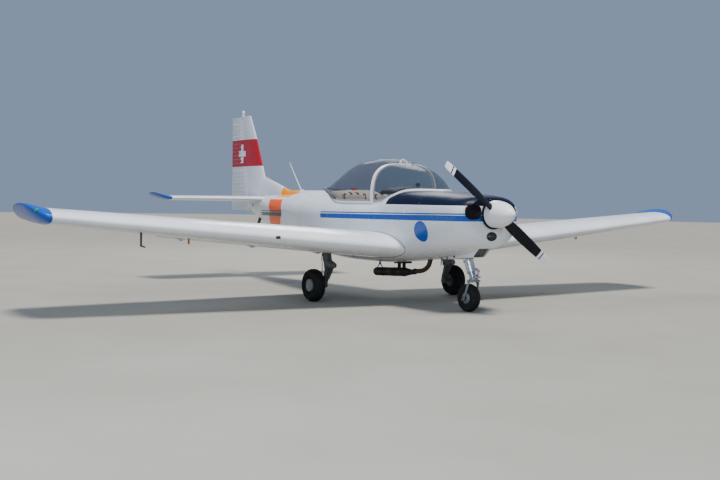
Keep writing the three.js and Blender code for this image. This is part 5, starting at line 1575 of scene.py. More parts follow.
brake_hose = tube("brake_hose", [(1.176, LEG_Y + 0.036, 0.64), (1.16, LEG_Y + 0.046, 0.56),
    (1.176, LEG_Y + 0.046, 0.46), (1.166, LEG_Y + 0.046, 0.36), (1.128, LEG_Y + 0.062, 0.29),
    (1.1, LEG_Y + 0.092, 0.258)], 0.005)
pair(brake_hose, "brake_hose_{}", "gear_grey", smooth=60)

# %% [markdown]
# ## Nose gear
# The nose leg leans forward. A polished tube slides in a sleeve under the engine; below its collar the
# fork turns with the rudder. A pair of links keeps the fork in line with the part that steers it.

# %% Nose leg and fork
ENGINE_LOW = 0.905
rake_top, rake_low = xyz(2.804, 0, ENGINE_LOW - SEAM), xyz(3.05, 0, 0.38)
rake = (rake_top - rake_low).normalized()
rake_side = rake.cross(Y_AXIS).normalized()


def on_rake(z):
    return rake_low + rake * ((z - rake_low.z) / rake.z)


def rake_ring(name, z_low, z_high, radius, soft=0.004):
    """A collar round the leg, with rounded edges."""
    origin = on_rake(z_low)
    long = (on_rake(z_high) - origin).length
    profile = [(0.0, 0), (radius - soft, 0), (radius, soft), (radius, long - soft),
        (radius - soft, long), (0.0, long)]
    return turned(name, profile, origin, rake, 40)


sleeve = rake_ring("sleeve", 0.47, 0.9, 0.057, 0.003)
collar = rake_ring("collar", 0.6, 0.64, 0.066, 0.006)
lower_collar = rake_ring("lower_collar", 0.474, 0.5, 0.06, 0.004)
link_lug = block("link_lug", (-0.012, -0.024, -0.016), (0.03, 0.024, 0.016), bevel=0.004)
link_lug.data.transform(Matrix.Translation(on_rake(0.485) + rake_side * -0.066))
nose_leg = joined("nose_leg_sleeve", [sleeve, collar, lower_collar])
cut(nose_leg, block("engine_space", (2.6, -0.3, ENGINE_LOW - SEAM), (3.2, 0.3, 1.2), bevel=0))
polished = plain("polished_steel", rgb(0.78, 0.8, 0.84), rgb(0.7, 0.72, 0.77), 0.16, 1.0,
    4.0, depth=0.00003)
dressed(nose_leg, "bright_steel", "nose_leg", material=polished)

FORK_GAP, NOSE_Z = NOSE_TYRE["width"] / 2 + 0.008, NOSE_TYRE["radius"]
# Columns: x and z of the blade's front edge, its width, its distance from the middle.
FORK = [
    (3.075, 0.4, 0.04, 0.01),
    (3.064, 0.378, 0.056, FORK_GAP - 0.02),
    (3.052, 0.33, 0.048, FORK_GAP),
    (3.02, 0.25, 0.042, FORK_GAP),
    (2.976, 0.178, 0.044, FORK_GAP),
    (2.95, 0.142, 0.028, FORK_GAP),
]


def fork_outline(row, side):
    x, z, wide, y = row
    back = xyz(x - wide * 0.9, 0, z - wide * 0.4)
    front = xyz(x, 0, z)
    outline = []
    for t, across in ((0.0, 0.3), (0.0, 0.7), (0.15, 1.0), (0.85, 1.0), (1.0, 0.7), (1.0, 0.3),
        (0.85, 0.0), (0.15, 0.0)):
        outline.append(front.lerp(back, t) + xyz(0, side * (y + 0.016 * across), 0))
    return outline


def smooth_table(rows, steps):
    """A table's rows with smooth rows between them."""
    front = smooth_path([Vector(row[:3]) for row in rows], steps)
    last = smooth_path([xyz(row[3], 0, 0) for row in rows], steps)
    return [(*a, b.x) for a, b in zip(front, last)]


fork_blades = [loft("fork_blade", [fork_outline(row, side) for row in smooth_table(FORK, 6)])
    for side in (1, -1)]
bridge = block("bridge", (3.012, -FORK_GAP - 0.014, 0.362), (3.076, FORK_GAP + 0.014, 0.386),
    bevel=0.009, segments=3)
yoke = rake_ring("yoke", 0.372, 0.412, 0.056, 0.008)
tow_pins = [rod("tow_pin", (NOSE_GEAR_X, side * (FORK_GAP + 0.01), NOSE_Z),
    (NOSE_GEAR_X, side * (FORK_GAP + 0.016), NOSE_Z), 0.022, sides=24, bevel=0.002) for side in (1, -1)]
fork = joined("nose_fork_blades", [*fork_blades, bridge, yoke, *tow_pins])
dressed(fork, "frame_white", "nose_fork", body="nose_fork_body",
    material=plain("fork_grey", rgb(0.3, 0.31, 0.33), rgb(0.22, 0.23, 0.25), 0.38, 0.4), smooth=45)
piston = rod("nose_piston", on_rake(0.38), on_rake(0.4695), 0.04, sides=40)
nose_axle = rod("nose_axle", (NOSE_GEAR_X, -FORK_GAP - 0.012, NOSE_Z),
    (NOSE_GEAR_X, FORK_GAP + 0.012, NOSE_Z), 0.014, sides=24)
piston = joined("nose_piston", [piston, nose_axle])
dressed(piston, "bright_steel", body="nose_fork_body")

# %% Scissor links of the nose leg
knee = on_rake(0.44) - rake_side * 0.125
upper_pin, lower_pin = on_rake(0.485) - rake_side * 0.08, on_rake(0.396) - rake_side * 0.066


def link(name, start, end, half_start, half_end, thick=0.01):
    """A flat tapered link that lies across the leg."""
    along = (end - start).normalized()
    up = along.cross(Y_AXIS) * thick / 2
    outline = [start + Y_AXIS * half_start, start - Y_AXIS * half_start, end - Y_AXIS * half_end,
        end + Y_AXIS * half_end]
    return plate(name, [p - up for p in outline], up * 2, 0.002)


def cross_pin(name, at, half, radius=0.007):
    return rod(name, at - Y_AXIS * half, at + Y_AXIS * half, radius, sides=16, bevel=0.001)


lower_link = joined("scissor_lower", [link("lower_link", lower_pin, knee, 0.026, 0.014),
    cross_pin("lower_pin", lower_pin, 0.032), cross_pin("knee_pin", knee, 0.022),
    block("fork_lug", lower_pin - xyz(0.016, 0.02, 0.012), lower_pin
    + xyz(0.05, 0.02, 0.012), bevel=0.003)])
dressed(lower_link, "bright_steel", body="nose_fork_body")
upper_link = joined("scissor_upper", [
    link("upper_link", upper_pin, knee + rake * 0.016, 0.026, 0.014),
    cross_pin("upper_pin", upper_pin, 0.032), cross_pin("upper_knee_pin", knee + rake * 0.016,
    0.018), link_lug])
dressed(upper_link, "bright_steel", body="nose_fork_body")
print("nose gear knee", [round(c, 3) for c in knee])

# %% [markdown]
# ## Exhaust
# A silencer of welded sheet lies under the belly. It hangs on crossed wires, and its front pipe bends
# up into the cowling. Heat has stained it, so its colour wanders between soot and rust.

# %% Silencer, pipe and hangers
can_rear, can_front = xyz(0.868, 0, 0.34), xyz(1.85, 0, 0.408)
can_axis = xyz(0.73, 0, 0.041).normalized()
# Pairs of radius and distance along the can: rolled seams stand proud of the sheet.
CAN = [(0.0, 0.03), (0.028, 0.03), (0.032, 0.034), (0.048, 0.052), (0.056, 0.07), (0.058, 0.084),
    (0.058, 0.24), (0.06, 0.243), (0.06, 0.251), (0.058, 0.254), (0.058, 0.5), (0.06, 0.503),
    (0.06, 0.511), (0.058, 0.514), (0.058, 0.736), (0.06, 0.739), (0.06, 0.747), (0.057, 0.752),
    (0.044, 0.83), (0.035, 0.9), (0.031, 0.96), (0.031, 0.986), (0.0, 0.986)]
can = turned("can", CAN, can_rear, can_axis, 48)
front_pipe = tube("front_pipe", [(1.81, 0, 0.4), (1.85, 0, 0.408), (1.96, 0, 0.418), (2.06, 0, 0.446),
    (2.14, 0, 0.505), (2.185, 0, 0.61)], 0.03, 28)
ring = xyz(1.842, 0, 0.406)
joint_ring = turned("joint_ring", [(0.031, -0.01), (0.037, -0.01), (0.037, 0.01), (0.031, 0.01)],
    ring, can_axis, 32)
tail_stub = rod("tail_stub", can_rear + can_axis * 0.044, can_rear + can_axis * 0.014, 0.024, sides=32)

# Two wires cross between the belly and the can, and are bound where they meet.
hangers = []
for x in (1.01, 1.024):
    side = 1 if x < 1.02 else -1
    hangers.append(rod("wire", (x, side * 0.046, 0.54), (x, -side * 0.046, 0.384), 0.0065, sides=10))
hangers.append(rod("binding", (1.017, 0, 0.44), (1.017, 0, 0.476), 0.013, sides=12, bevel=0.002))
for x in (1.007, 1.47, 1.58):
    hangers.append(turned("strap", [(0.058, 0.0), (0.0605, 0.0), (0.0605, 0.02), (0.058, 0.02)],
        can_rear + can_axis * (x - can_rear.x), can_axis, 48))
belly_plate = side_plate("belly_plate", [(1.43, 0.484), (1.69, 0.496), (1.7, 0.52), (1.43, 0.505)],
    -0.055, 0.055, 0.003)
drop_links = [block("drop_link", (x - 0.004, -0.026, 0.4), (x + 0.004, 0.026, 0.492), bevel=0.001)
    for x in (1.48, 1.59)]
exhaust = joined("exhaust_system", [can, front_pipe, joint_ring, tail_stub, *hangers])
belly_core = loft("belly_core", [hoop(x, SEAM, 72) for x in spaced(0.8, 2.4, 24)])
for piece in (exhaust, belly_plate):
    cut(piece, belly_core, keep=piece is exhaust)
exhaust = joined("exhaust_system", [exhaust, belly_plate, *drop_links])
dressed(exhaust, "sooty_steel", "exhaust", smooth=40)
faced(exhaust, rusty_steel, lambda centre: centre.x > can_front.x + 0.02)
print("silencer", round(can_rear.x, 3), "to", round((can_rear + can_axis * 0.986).x, 3))

# %% [markdown]
# ## Aerial, skid, pitot tube and lights
# Small fittings say what sort of aircraft this is: a whip aerial that leans aft, a bent skid below the
# tail, a pitot tube under the starboard wing, a lamp in the chin and a beacon on top of the fin.

# %% Small fittings outside
whip = rod("whip", (-1.2, 0, 1.404), (-1.622, 0, 1.876), 0.009, 0.004, sides=16)
foot = block("whip_foot", (-1.262, -0.022, 1.441), (-1.178, 0.022, 1.453), bevel=0.004)
dressed(joined("aerial", [whip, foot]), "white_paint", "antenna")

skid = side_plate("skid", [(-2.575, 1.04), (-2.64, 1.04), (-2.745, 0.862), (-2.738, 0.838), (-2.71, 0.84),
    (-2.622, 0.955)], -0.014, 0.014, 0.004, 3)
dressed(skid, "black_paint", "tail_skid", material=black_rubber)

PITOT_Y = -3.68
mast = rod("mast", (1.885, PITOT_Y, 0.782), (1.885, PITOT_Y, 1.02), 0.011, 0.014, sides=20)
head = rod("head", (1.871, PITOT_Y, 0.783), (2.01, PITOT_Y, 0.774), 0.011, 0.008, sides=24, bevel=0.0015)
elbow = tube("elbow", [(1.885, PITOT_Y, 0.8), (1.886, PITOT_Y, 0.786), (1.9, PITOT_Y, 0.782)], 0.0115, 20)
pitot = joined("pitot", [mast, head, elbow])
starboard_core = loft("starboard_core", [[xyz(p.x, -p.y, p.z) for p in whole_outline(wing_at(y), HINGE)]
    for y in (3.5, 3.9)])
cut(pitot, starboard_core)
dressed(pitot, "bright_steel", "pitot_tube", material=dark_steel)


# The lamp looks out of an oval hole: a black housing, a polished bowl that squints down, a bulb.
def lamp_part(name, profile, tilt=0.0):
    part = turned(name, profile, (0, 0, 0), X_AXIS, 48)
    part.data.transform(Matrix.Translation((COWL_FRONT, 0, LAMP_Z)) @ Matrix.Scale(LAMP_STRETCH, 4, Y_AXIS)
        @ Matrix.Rotation(tilt, 4, "Y"))
    return part


housing = lamp_part("lamp_housing", [(0.046, -0.06), (0.0536, -0.058), (0.0536, -0.004), (0.051, -0.003),
    (0.0485, -0.006), (0.0485, -0.05), (0.045, -0.055)])
dressed(housing, "black_trim", material=black_rubber)
bowl = lamp_part("lamp_bowl", [(0.0, -0.056), (0.014, -0.055), (0.028, -0.049), (0.038, -0.038),
    (0.044, -0.024), (0.046, -0.024), (0.04, -0.041), (0.029, -0.052), (0.015, -0.058),
    (0.0, -0.059)], 0.16)
dressed(bowl, "bright_steel", material=plain("mirror", rgb(0.86, 0.87, 0.88), rgb(0.8, 0.81, 0.83), 0.1,
    1.0, depth=0.00005))
faced(bowl, black_rubber, lambda centre: centre.y > -0.012 or centre.z > LAMP_Z + 0.012)
bulb = lamp_part("lamp_bulb", [(0.0, -0.058), (0.006, -0.057), (0.006, -0.044), (0.009, -0.038),
    (0.009, -0.031), (0.006, -0.026), (0.0, -0.024)])
dressed(bulb, "lamp_glass")
cover_glass = lamp_part("lamp_cover", [(0.0, -0.006), (0.03, -0.0068), (0.048, -0.01), (0.048, -0.012),
    (0.03, -0.0088), (0.0, -0.008)])
dressed(cover_glass, "lamp_glass", "landing_light", material=plain("cover_glass", rgb(0.1, 0.11, 0.12),
    rgb(0.08, 0.09, 0.1), 0.06, 0.0, depth=0.0001, Alpha=0.22, IOR=1.49))

beacon = turned("beacon", [(0.0, 0.0), (0.026, 0.0), (0.026, 0.01), (0.022, 0.014), (0.015, 0.02),
    (0.014, 0.048), (0.018, 0.054), (0.024, 0.059), (0.024, 0.082), (0.021, 0.09), (0.014, 0.096),
    (0.006, 0.0995), (0.0, 0.1)], (-3.322, 0, FIN_TOP + SEAM), Z_AXIS, 36)
dressed(beacon, "white_paint", "fin_top_light")

# %% [markdown]
# ## Cabin
# Behind the glass are a black panel with its hood, two upholstered seats, two sticks with boots, a
# console with levers and a luggage shelf. The plain boxes of the frame are rebuilt with their edges,
# dials and seams, because the glass shows them from every side.

# %% Panel and hood
PANEL_AFT, PANEL_FORE = 1.905, 1.932
panel = loft("panel", [hoop(x, -WALL - SEAM, 64) for x in (1.86, 1.95)])
cut(panel, block("panel_space", (PANEL_AFT, -0.7, 1.01), (PANEL_FORE, 0.7, 1.44), bevel=0),
    operation="INTERSECT")


def hood_outline(x, lift=0.0):
    return [xyz(x, 0.4 * cos(pi * i / 24), 1.385 + lift + (0.078 - lift) * sin(pi * i / 24) ** 0.8)
        for i in range(25)]


hood = loft("hood", [hood_outline(x) for x in spaced(1.88, PANEL_FORE, 5)])
panel = joined("panel_and_hood", [panel, hood])
dressed(panel, "black_trim", "instrument_panel", smooth=30)

# %% Dials
dial_white = plain("dial_white", rgb(0.75, 0.75, 0.72), rgb(0.68, 0.68, 0.65), 0.5)
# Columns: y, z, radius of each dial.
DIALS = ([(y, z, 0.04) for y in (0.155, 0.252, 0.349) for z in (1.31, 1.212)]
    + [(y, z, 0.029) for y in (-0.13, -0.2, -0.27, -0.34) for z in (1.3, 1.228)])
bezels, marks = [], []
for y, z, radius in DIALS:
    at = xyz(PANEL_AFT, y, z)
    bezels.append(turned("bezel", [(radius, 0.0), (radius, -0.008), (radius * 0.86, -0.009),
        (radius * 0.82, -0.003), (0.0, -0.003), (0.0, 0.0)], at, X_AXIS, 32))
    for k in range(12):
        spoke = xyz(0, cos(tau * k / 12), sin(tau * k / 12))
        start = at - X_AXIS * 0.0034
        marks.append(rod("tick", start + spoke * radius * 0.66, start + spoke * radius * 0.8,
            0.0009, sides=4))
    lean = xyz(0, cos(y * 40), sin(z * 50))
    marks.append(rod("needle", at - X_AXIS * 0.0038, at - X_AXIS * 0.0038 + lean * radius * 0.6, 0.0014,
        0.0006, sides=4))
dressed(joined("dial_bezels", bezels), "black_trim", material=black_rubber)
dressed(joined("dial_marks", marks), "white_paint", material=dial_white)

# %% Radio stack, knobs and compass
stack = [block("radio", (PANEL_AFT - 0.012, -0.08, z), (PANEL_AFT + 0.002, 0.08, z + 0.042), bevel=0.003)
    for z in (1.2, 1.25, 1.3)]
knobs = [rod("knob", (PANEL_AFT - 0.03, y, z + 0.021), (PANEL_AFT - 0.01, y, z + 0.021), 0.009, sides=20,
    bevel=0.001) for y in (-0.066, 0.066) for z in (1.2, 1.25, 1.3)]
switches = [rod("switch", (PANEL_AFT - 0.02, y, 1.12), (PANEL_AFT + 0.001, y, 1.116), 0.0035, sides=10)
    for y in spaced(-0.36, 0.36, 13) if abs(y) > 0.06]
dressed(joined("radio_stack", [*stack, *knobs, *switches]), "black_trim", material=dark_steel)
compass = turned("compass", [(0.0, -0.024), (0.018, -0.024), (0.026, -0.016), (0.028, 0.0), (0.026, 0.016),
    (0.018, 0.024), (0.0, 0.024)], (1.87, 0, 1.52), X_AXIS, 28)
compass_stalk = rod("compass_stalk", (1.89, 0, 1.455), (1.874, 0, 1.5), 0.006, sides=12)
dressed(joined("compass_bowl", [compass, compass_stalk]), "black_trim")

# %% Shelf, console and levers
shelf_top = loft("shelf_top", [hoop(x, -WALL - SEAM, 64) for x in spaced(CABIN_REAR + 0.006, 0.56, 16)])
cut(shelf_top, block("shelf_space", (CABIN_REAR, -0.7, 1.09), (0.7, 0.7, 1.118), bevel=0),
    operation="INTERSECT")
shelf_wall = loft("shelf_wall",
    [hoop(x, -WALL - SEAM, 64) for x in (CABIN_REAR + 0.006, CABIN_REAR + 0.03)])
cut(shelf_wall, block("wall_space", (CABIN_REAR - 0.1, -0.7, FLOOR + SEAM), (0.1, 0.7, 1.1), bevel=0),
    operation="INTERSECT")
dressed(joined("luggage_shelf", [shelf_top, shelf_wall]), "beige_trim", "rear_shelf")

console = block("console", (1.01, -0.034, FLOOR + SEAM), (1.9, 0.034, 0.86), bevel=0.01, segments=3)
dressed(console, "black_trim", "centre_console", material=beige_trim)
levers = []
for y, x, lean, ball in ((0.016, 1.7, 0.05, 0.013), (-0.014, 1.69, 0.02, 0.011), (0.0, 1.56, -0.06, 0.012)):
    top = xyz(x + lean, y, 0.96)
    levers += [rod("lever", (x, y, 0.85), top, 0.004, sides=10),
        turned("knob", [(0.0, -ball), (ball * 0.7, -ball * 0.7), (ball, 0.0), (ball * 0.7, ball * 0.7),
        (0.0, ball)], top, Z_AXIS, 20)]
trim_wheel = turned("trim_wheel", [(0.02, -0.008), (0.062, -0.008), (0.066, -0.004), (0.066, 0.004),
    (0.062, 0.008), (0.02, 0.008)], (1.25, 0, 0.85), Y_AXIS, 48)
dressed(joined("console_levers", [*levers, trim_wheel]), "black_trim")

# %% Sticks with their boots
for label, side in SIDES:
    y = side * 0.252
    shaft = rod("shaft", (1.5, y, FLOOR + 0.008), (1.46, y, 0.96), 0.012, sides=20)
    grip = tube("grip", [(1.462, y, 0.948), (1.457, y, 0.975), (1.45, y, 1.02), (1.441, y, 1.06),
        (1.438, y, 1.073)], 0.0185, 24)
    button = rod("button", (1.424, y, 1.052), (1.418, y, 1.054), 0.006, sides=16)
    boot = turned("boot", [(0.01, 0.13), (0.018, 0.128), (0.022, 0.11), (0.019, 0.1), (0.028, 0.082),
        (0.024, 0.07), (0.034, 0.052), (0.03, 0.04), (0.042, 0.022), (0.046, 0.001), (0.01, 0.001)],
        (1.5, y, FLOOR + SEAM), xyz(-0.09, 0, 1), 28)
    dressed(joined("stick_" + label + "_grip", [shaft, grip, button, boot]), "black_trim", "stick_" + label)

# %% [markdown]
# ## Seats
# The seats are foam pads on a sheet-metal frame. A pad is remeshed evenly and blown up a little as
# cloth, so its faces crown and its edges round off as sewn covers do; welts and belts follow as pieces
# of their own.

# %% Foam pads
SEAT_Y = 0.252


def puffed(piece, reach, pressure=4.0, voxel=0.006):
    """Blows a closed pad up as cloth, and lets no point move further than reach."""
    applied(piece, "REMESH", mode="VOXEL", voxel_size=voxel)
    before = [vertex.co.copy() for vertex in piece.data.vertices]
    cloth = piece.modifiers.new("cloth", "CLOTH")
    cloth.settings.use_pressure = True
    cloth.settings.uniform_pressure_force = pressure
    cloth.settings.effector_weights.gravity = 0
    for step in range(1, 21):
        bpy.context.scene.frame_set(step)
    pick(piece)
    bpy.ops.object.modifier_apply(modifier="cloth")
    for vertex, start in zip(piece.data.vertices, before):
        move = vertex.co - start
        if move.length > reach:
            vertex.co = start + move * (reach / move.length)
    bpy.context.scene.frame_set(1)
    return applied(piece, "SMOOTH", iterations=4, factor=0.5)


def seat_pad(name, outline, half_width, y, bevel):
    return side_plate(name, outline, y - half_width, y + half_width, bevel, 3)


leather = Recipe("seat_leather", Sheen_Weight=0.15)
leather.colour(leather.mix(leather.ramp(leather.noise(6.0, 5.0, 0.6), 0.3, 0.7), rgb(0.76, 0.65, 0.52),
    rgb(0.64, 0.53, 0.41)))
leather.rough(leather.ramp(leather.noise(40.0, 4.0), 0.3, 0.7, 0.45, 0.62))
grain = leather.node("ShaderNodeTexVoronoi", {"Vector": leather.place, "Scale": 520.0}).outputs["Distance"]
leather.bump(grain, 0.0008, 0.6)
brown = plain("brown_welt", rgb(0.16, 0.085, 0.045), rgb(0.11, 0.06, 0.03), 0.5)
BASE_PAD = [(0.905, 0.742), (1.322, 0.742), (1.34, 0.8), (1.322, 0.822), (1.12, 0.808), (0.915, 0.8)]
BACK_PAD = [(0.835, 0.83), (0.905, 0.842), (0.818, 1.12), (0.748, 1.388), (0.698, 1.41), (0.672, 1.396),
    (0.716, 1.13), (0.806, 0.83)]

for label, side in SIDES:
    y = side * SEAT_Y
    frame_box = block("frame_box", (0.84, y - 0.13, FLOOR + SEAM), (1.3, y + 0.13, 0.726), bevel=0.006)
    pan = side_plate("pan", [(0.802, 0.724), (1.33, 0.724), (1.338, 0.742), (0.87, 0.742), (0.802, 0.8),
        (0.788, 0.8)], y - 0.203, y + 0.203, 0.003)
    seat_frame = joined("seat_" + label + "_frame", [frame_box, pan])
    dressed(seat_frame, "beige_trim")
    for part, outline, half, reach in (("base", BASE_PAD, 0.19, 0.01), ("back", BACK_PAD, 0.18, 0.012)):
        pad = puffed(seat_pad("pad", outline, half, y, 0.014), reach)
        pad.name = "seat_" + label + "_" + part
        dressed(pad, "beige_leather", "seat_" + label if part == "base" else "",
            material=leather.material, smooth=60)

# %% Bands and harness on the seats
# Front faces of the back and of the base in the side view, from the shoulder to the knee.
SEAT_LINE = [(0.69, 1.411), (0.74, 1.397), (0.822, 1.124), (0.906, 0.852), (0.935, 0.815), (1.15, 0.821)]
webbing = plain("webbing", rgb(0.022, 0.022, 0.026), rgb(0.04, 0.04, 0.045), 0.7, grain=600.0)


def strip(name, line, y0, y1, thick=0.004):
    """A strip laid on a seat: its line in the side view, thickened outwards."""
    outer = []
    for i, (x, z) in enumerate(line):
        (ax, az), (bx, bz) = line[max(i - 1, 0)], line[min(i + 1, len(line) - 1)]
        long = hypot(bx - ax, bz - az)
        outer.append((x - (bz - az) / long * thick, z + (bx - ax) / long * thick))
    return side_plate(name, line + outer[::-1], y0, y1, 0.0008, 1)


for label, side in SIDES:
    y = side * SEAT_Y
    edging = [strip("edging", SEAT_LINE[1:4], y + out - 0.02, y + out + 0.02) for out in (-0.156, 0.156)]
    cross_band = strip("cross_band", [(0.7635, 1.318), (0.7725, 1.288)], y - 0.15, y + 0.15, 0.005)
    dressed(joined("seat_" + label + "_bands", [*edging, cross_band]), "beige_leather", material=brown)
    belts = [strip("belt", SEAT_LINE, y + out - 0.016, y + out + 0.016, 0.007) for out in (-0.055, 0.055)]
    lap = strip("lap_belt", [(0.985, 0.82), (1.035, 0.822)], y - 0.17, y + 0.17, 0.008)
    dressed(joined("seat_" + label + "_harness", [*belts, lap]), "black_trim", material=webbing)
    buckle = block("buckle", (0.984, y - 0.03, 0.826), (1.036, y + 0.03, 0.842), bevel=0.004)
    dressed(buckle, "bright_steel")
    buckle.name = "seat_" + label + "_buckle"

# %% [markdown]
# ## Cover over the luggage and hood over the dials
# A quilted cover lies over the luggage behind the seats, as high as the canopy allows, so its frames
# follow the canopy's. The hood over the dials is a padded shell that keeps the sun off them.

# %% Luggage cover and padded hood
# Columns of the cover: x, highest z.
COVER = [(-0.4, 1.412), (-0.25, 1.428), (0.0, 1.438), (0.3, 1.444), (0.54, 1.44), (0.64, 1.35)]


def cover_outline(x):
    top = between(COVER, x)[1]
    half = min(max(between(CANOPY, x)[1] - 0.06, 0.02), 0.36)
    crown = [(half * squared(cos(a), 4.0), 1.12 + (top - 1.12) * squared(sin(a), 4.0))
        for a in (pi * i / 28 for i in range(29))]
    return [xyz(x, y, z) for y, z in crown]


cover = loft("luggage_cover", [cover_outline(x) for x in spaced(COVER[0][0], COVER[-1][0], 30)])
dressed(cover, "beige_trim", material=plain("quilt", rgb(0.84, 0.76, 0.64), rgb(0.74, 0.65, 0.53), 0.8,
    scale=5.0, grain=300.0), smooth=60)
pouch = block("red_pouch", (0.45, -0.14, 1.42), (0.515, -0.075, 1.478), bevel=0.012, segments=3)
dressed(pouch, "beige_trim", material=plain("red_cloth", rgb(0.55, 0.03, 0.04), rgb(0.42, 0.02, 0.03),
    0.7, grain=500.0))


def brow_outline(x):
    half = min(0.42, SHIELD_TIP - 0.075 - x)
    low = 1.392 if x < 1.99 else 1.436
    crown = lerp(1.494, 1.474, share(x, 1.64, 2.19))
    return [xyz(x, half * cos(a), low + (crown - low) * sin(a) ** 0.7)
        for a in (pi * i / 32 for i in range(33))]


brow = loft("glare_hood", [brow_outline(x) for x in spaced(1.64, 2.19, 24)])
applied(brow, "BEVEL", width=0.006, segments=2, limit_method="ANGLE", angle_limit=radians(50))
dressed(brow, "black_trim", smooth=50)
print("cover and hood", len(cover.data.polygons), len(brow.data.polygons))

# %% [markdown]
# ## Small fittings on the skin
# Rubber seals close the joints at the wing's roots. A vane on the starboard leading edge warns of the
# stall, caps close the tanks, drains and breathers hang below the belly, and coloured lamps end the
# wings. Each one is set on the skin with the same functions that drew the skin.

# %% Seals at the wing's roots
ROOT_POINTS = len(whole_outline(wing_at(0.5), HINGE))


def root_point(index):
    """Where one line of the wing's section meets the body's skin."""
    within, beyond = 0.3, 0.62
    for _ in range(16):
        y = (within + beyond) / 2
        if inside(whole_outline(wing_at(y), HINGE)[index], 0.0):
            within = y
        else:
            beyond = y
    # Below the nose the seal follows the fairing's edge, which stands straight down.
    below = smooth_step(25 - index, 0, 16)
    return whole_outline(wing_at(lerp(within, max(within, 0.545), below)), HINGE)[index]


seal = tube("root_seal", [root_point(i) for i in range(ROOT_POINTS)], 0.0045, 8, smooth=1)
pair(seal, "root_seal_{}", "black_trim", material=black_rubber, smooth=60)

# %% Vane, caps, drains, lamps at the tips
vane_at = wing_at(2.14)["nose"]
vane = [block("vane_base", (vane_at[0] - 0.03, -2.168, vane_at[1] - 0.02),
    (vane_at[0] + 0.008, -2.112, vane_at[1] + 0.014), 0.004),
    block("vane_tab", (vane_at[0] + 0.004, -2.155, vane_at[1] - 0.01),
    (vane_at[0] + 0.034, -2.125, vane_at[1] - 0.006), 0.001)]
dressed(joined("stall_vane", vane), "black_trim", material=dark_steel)


def wing_spot(y, chord_share, upper=True):
    """A point of the wing's skin and the direction that points out of it."""
    point_at = upper_at if upper else lower_at
    here = point_at(wing_at(y), chord_share)
    out = (point_at(wing_at(y), chord_share + 0.01) - here).cross(point_at(wing_at(y + 0.02),
        chord_share) - here)
    out = -out if (out.z > 0) != upper else out
    return here, out.normalized()


cap_at, cap_out = wing_spot(1.52, 0.24)
cap = turned("cap", [(0.0, -0.002), (0.046, -0.002), (0.046, 0.001), (0.042, 0.0022), (0.036, 0.0022),
    (0.034, 0.004), (0.01, 0.005), (0.0, 0.005)], cap_at, cap_out, 40)
tab = block("tab", cap_at + xyz(-0.026, -0.005, 0.003), cap_at + xyz(0.026, 0.005, 0.009), bevel=0.002)
pair(joined("fuel_cap", [cap, tab]), "fuel_cap_{}", "bright_steel")

_, tip_nose_cut, _, _, tip_rise = between(WING_TIP, 4.79)
tip_nose = xyz(wing_at(4.79)["nose"][0] - tip_nose_cut, 4.79, wing_at(4.79)["nose"][1] + tip_rise)
LENS = [(0.0, -0.05), (0.012, -0.046), (0.019, -0.03), (0.021, -0.008), (0.019, 0.008), (0.013, 0.018),
    (0.006, 0.022), (0.0, 0.023)]
for label, side, light, dark in (("left", 1, rgb(0.6, 0.01, 0.01), rgb(0.45, 0.005, 0.005)),
    ("right", -1, rgb(0.0, 0.26, 0.12), rgb(0.0, 0.18, 0.08))):
    centre = xyz(tip_nose.x - 0.006, side * tip_nose.y, tip_nose.z + 0.01)
    lens_piece = turned("tip_lens", LENS, centre, xyz(1, side * 0.5, 0.1), 28)
    lens_piece.name = "tip_lamp_" + label
    dressed(lens_piece, "lamp_glass", material=plain("lens_" + label, light, dark, 0.12), smooth=50)

drains = [rod("drain", (x, -0.1, 0.66), (x - 0.006, -0.1, low), 0.0065, sides=16, bevel=0.001)
    for x, low in ((2.538, 0.53), (2.649, 0.536))]
drains += [rod("tank_drain", lower_at(wing_at(0.86), 0.3) + xyz(0, side_step, 0.004),
    lower_at(wing_at(0.86), 0.3) + xyz(0, side_step, -0.016), 0.007, sides=12, bevel=0.001)
    for side_step in (-0.01, -1.72 + 0.01)]
dressed(joined("belly_drains", drains), "bright_steel", material=dark_steel)


def flank(x, z, grow=0.0):
    """Half width of the body's skin at a station and a height."""
    _, half, low, wide, high, low_power, high_power = frame_row(x)
    reach, power = (high - wide, high_power) if z > wide else (wide - low, low_power)
    return half * max(1 - (abs(z - wide) / reach) ** power, 0) ** (1 / power) + grow


slots = [plate("slot", [xyz(x, side * flank(x, z, -0.004), z)
    for x, z in rounded_plan((-2.752, 1.168), (-2.712, 1.222), 0.015)], (0, side * 0.006, 0))
    for side in (1, -1)]
dressed(joined("tail_slots", slots), "black_trim", material=black_rubber)
posts = [rod("vent", (2.358, side * flank(2.358, 1.18, 0.007), 1.162),
    (2.358, side * flank(2.358, 1.18, 0.007), 1.212), 0.006, sides=16, bevel=0.002) for side in (1, -1)]
dressed(joined("side_vents", posts), "frame_white")

handle = tube("canopy_handle", [(1.53, -0.044, 1.792), (1.53, -0.04, 1.822), (1.53, -0.02, 1.844),
    (1.53, 0.006, 1.849), (1.53, 0.034, 1.838), (1.53, 0.05, 1.816), (1.53, 0.053, 1.792)], 0.0065, 12)
dressed(handle, "frame_white", body="canopy", smooth=60)
probe = rod("air_probe", (1.606, 0.112, 1.815), (1.6, 0.072, 1.738), 0.0045, sides=12, bevel=0.001)
dressed(probe, "black_trim", material=dark_steel)

# %% [markdown]
# ## Laps and rivets
# Sheets overlap at the frames and are held by rows of rivets, a few centimetres apart. One low rivet
# is made, repeated by an array, and each copy is set square on the skin.

# %% Skin laps
FULL_TURN = (0.0, tau)
UNDER_SILLS = (radians(-205), radians(25))


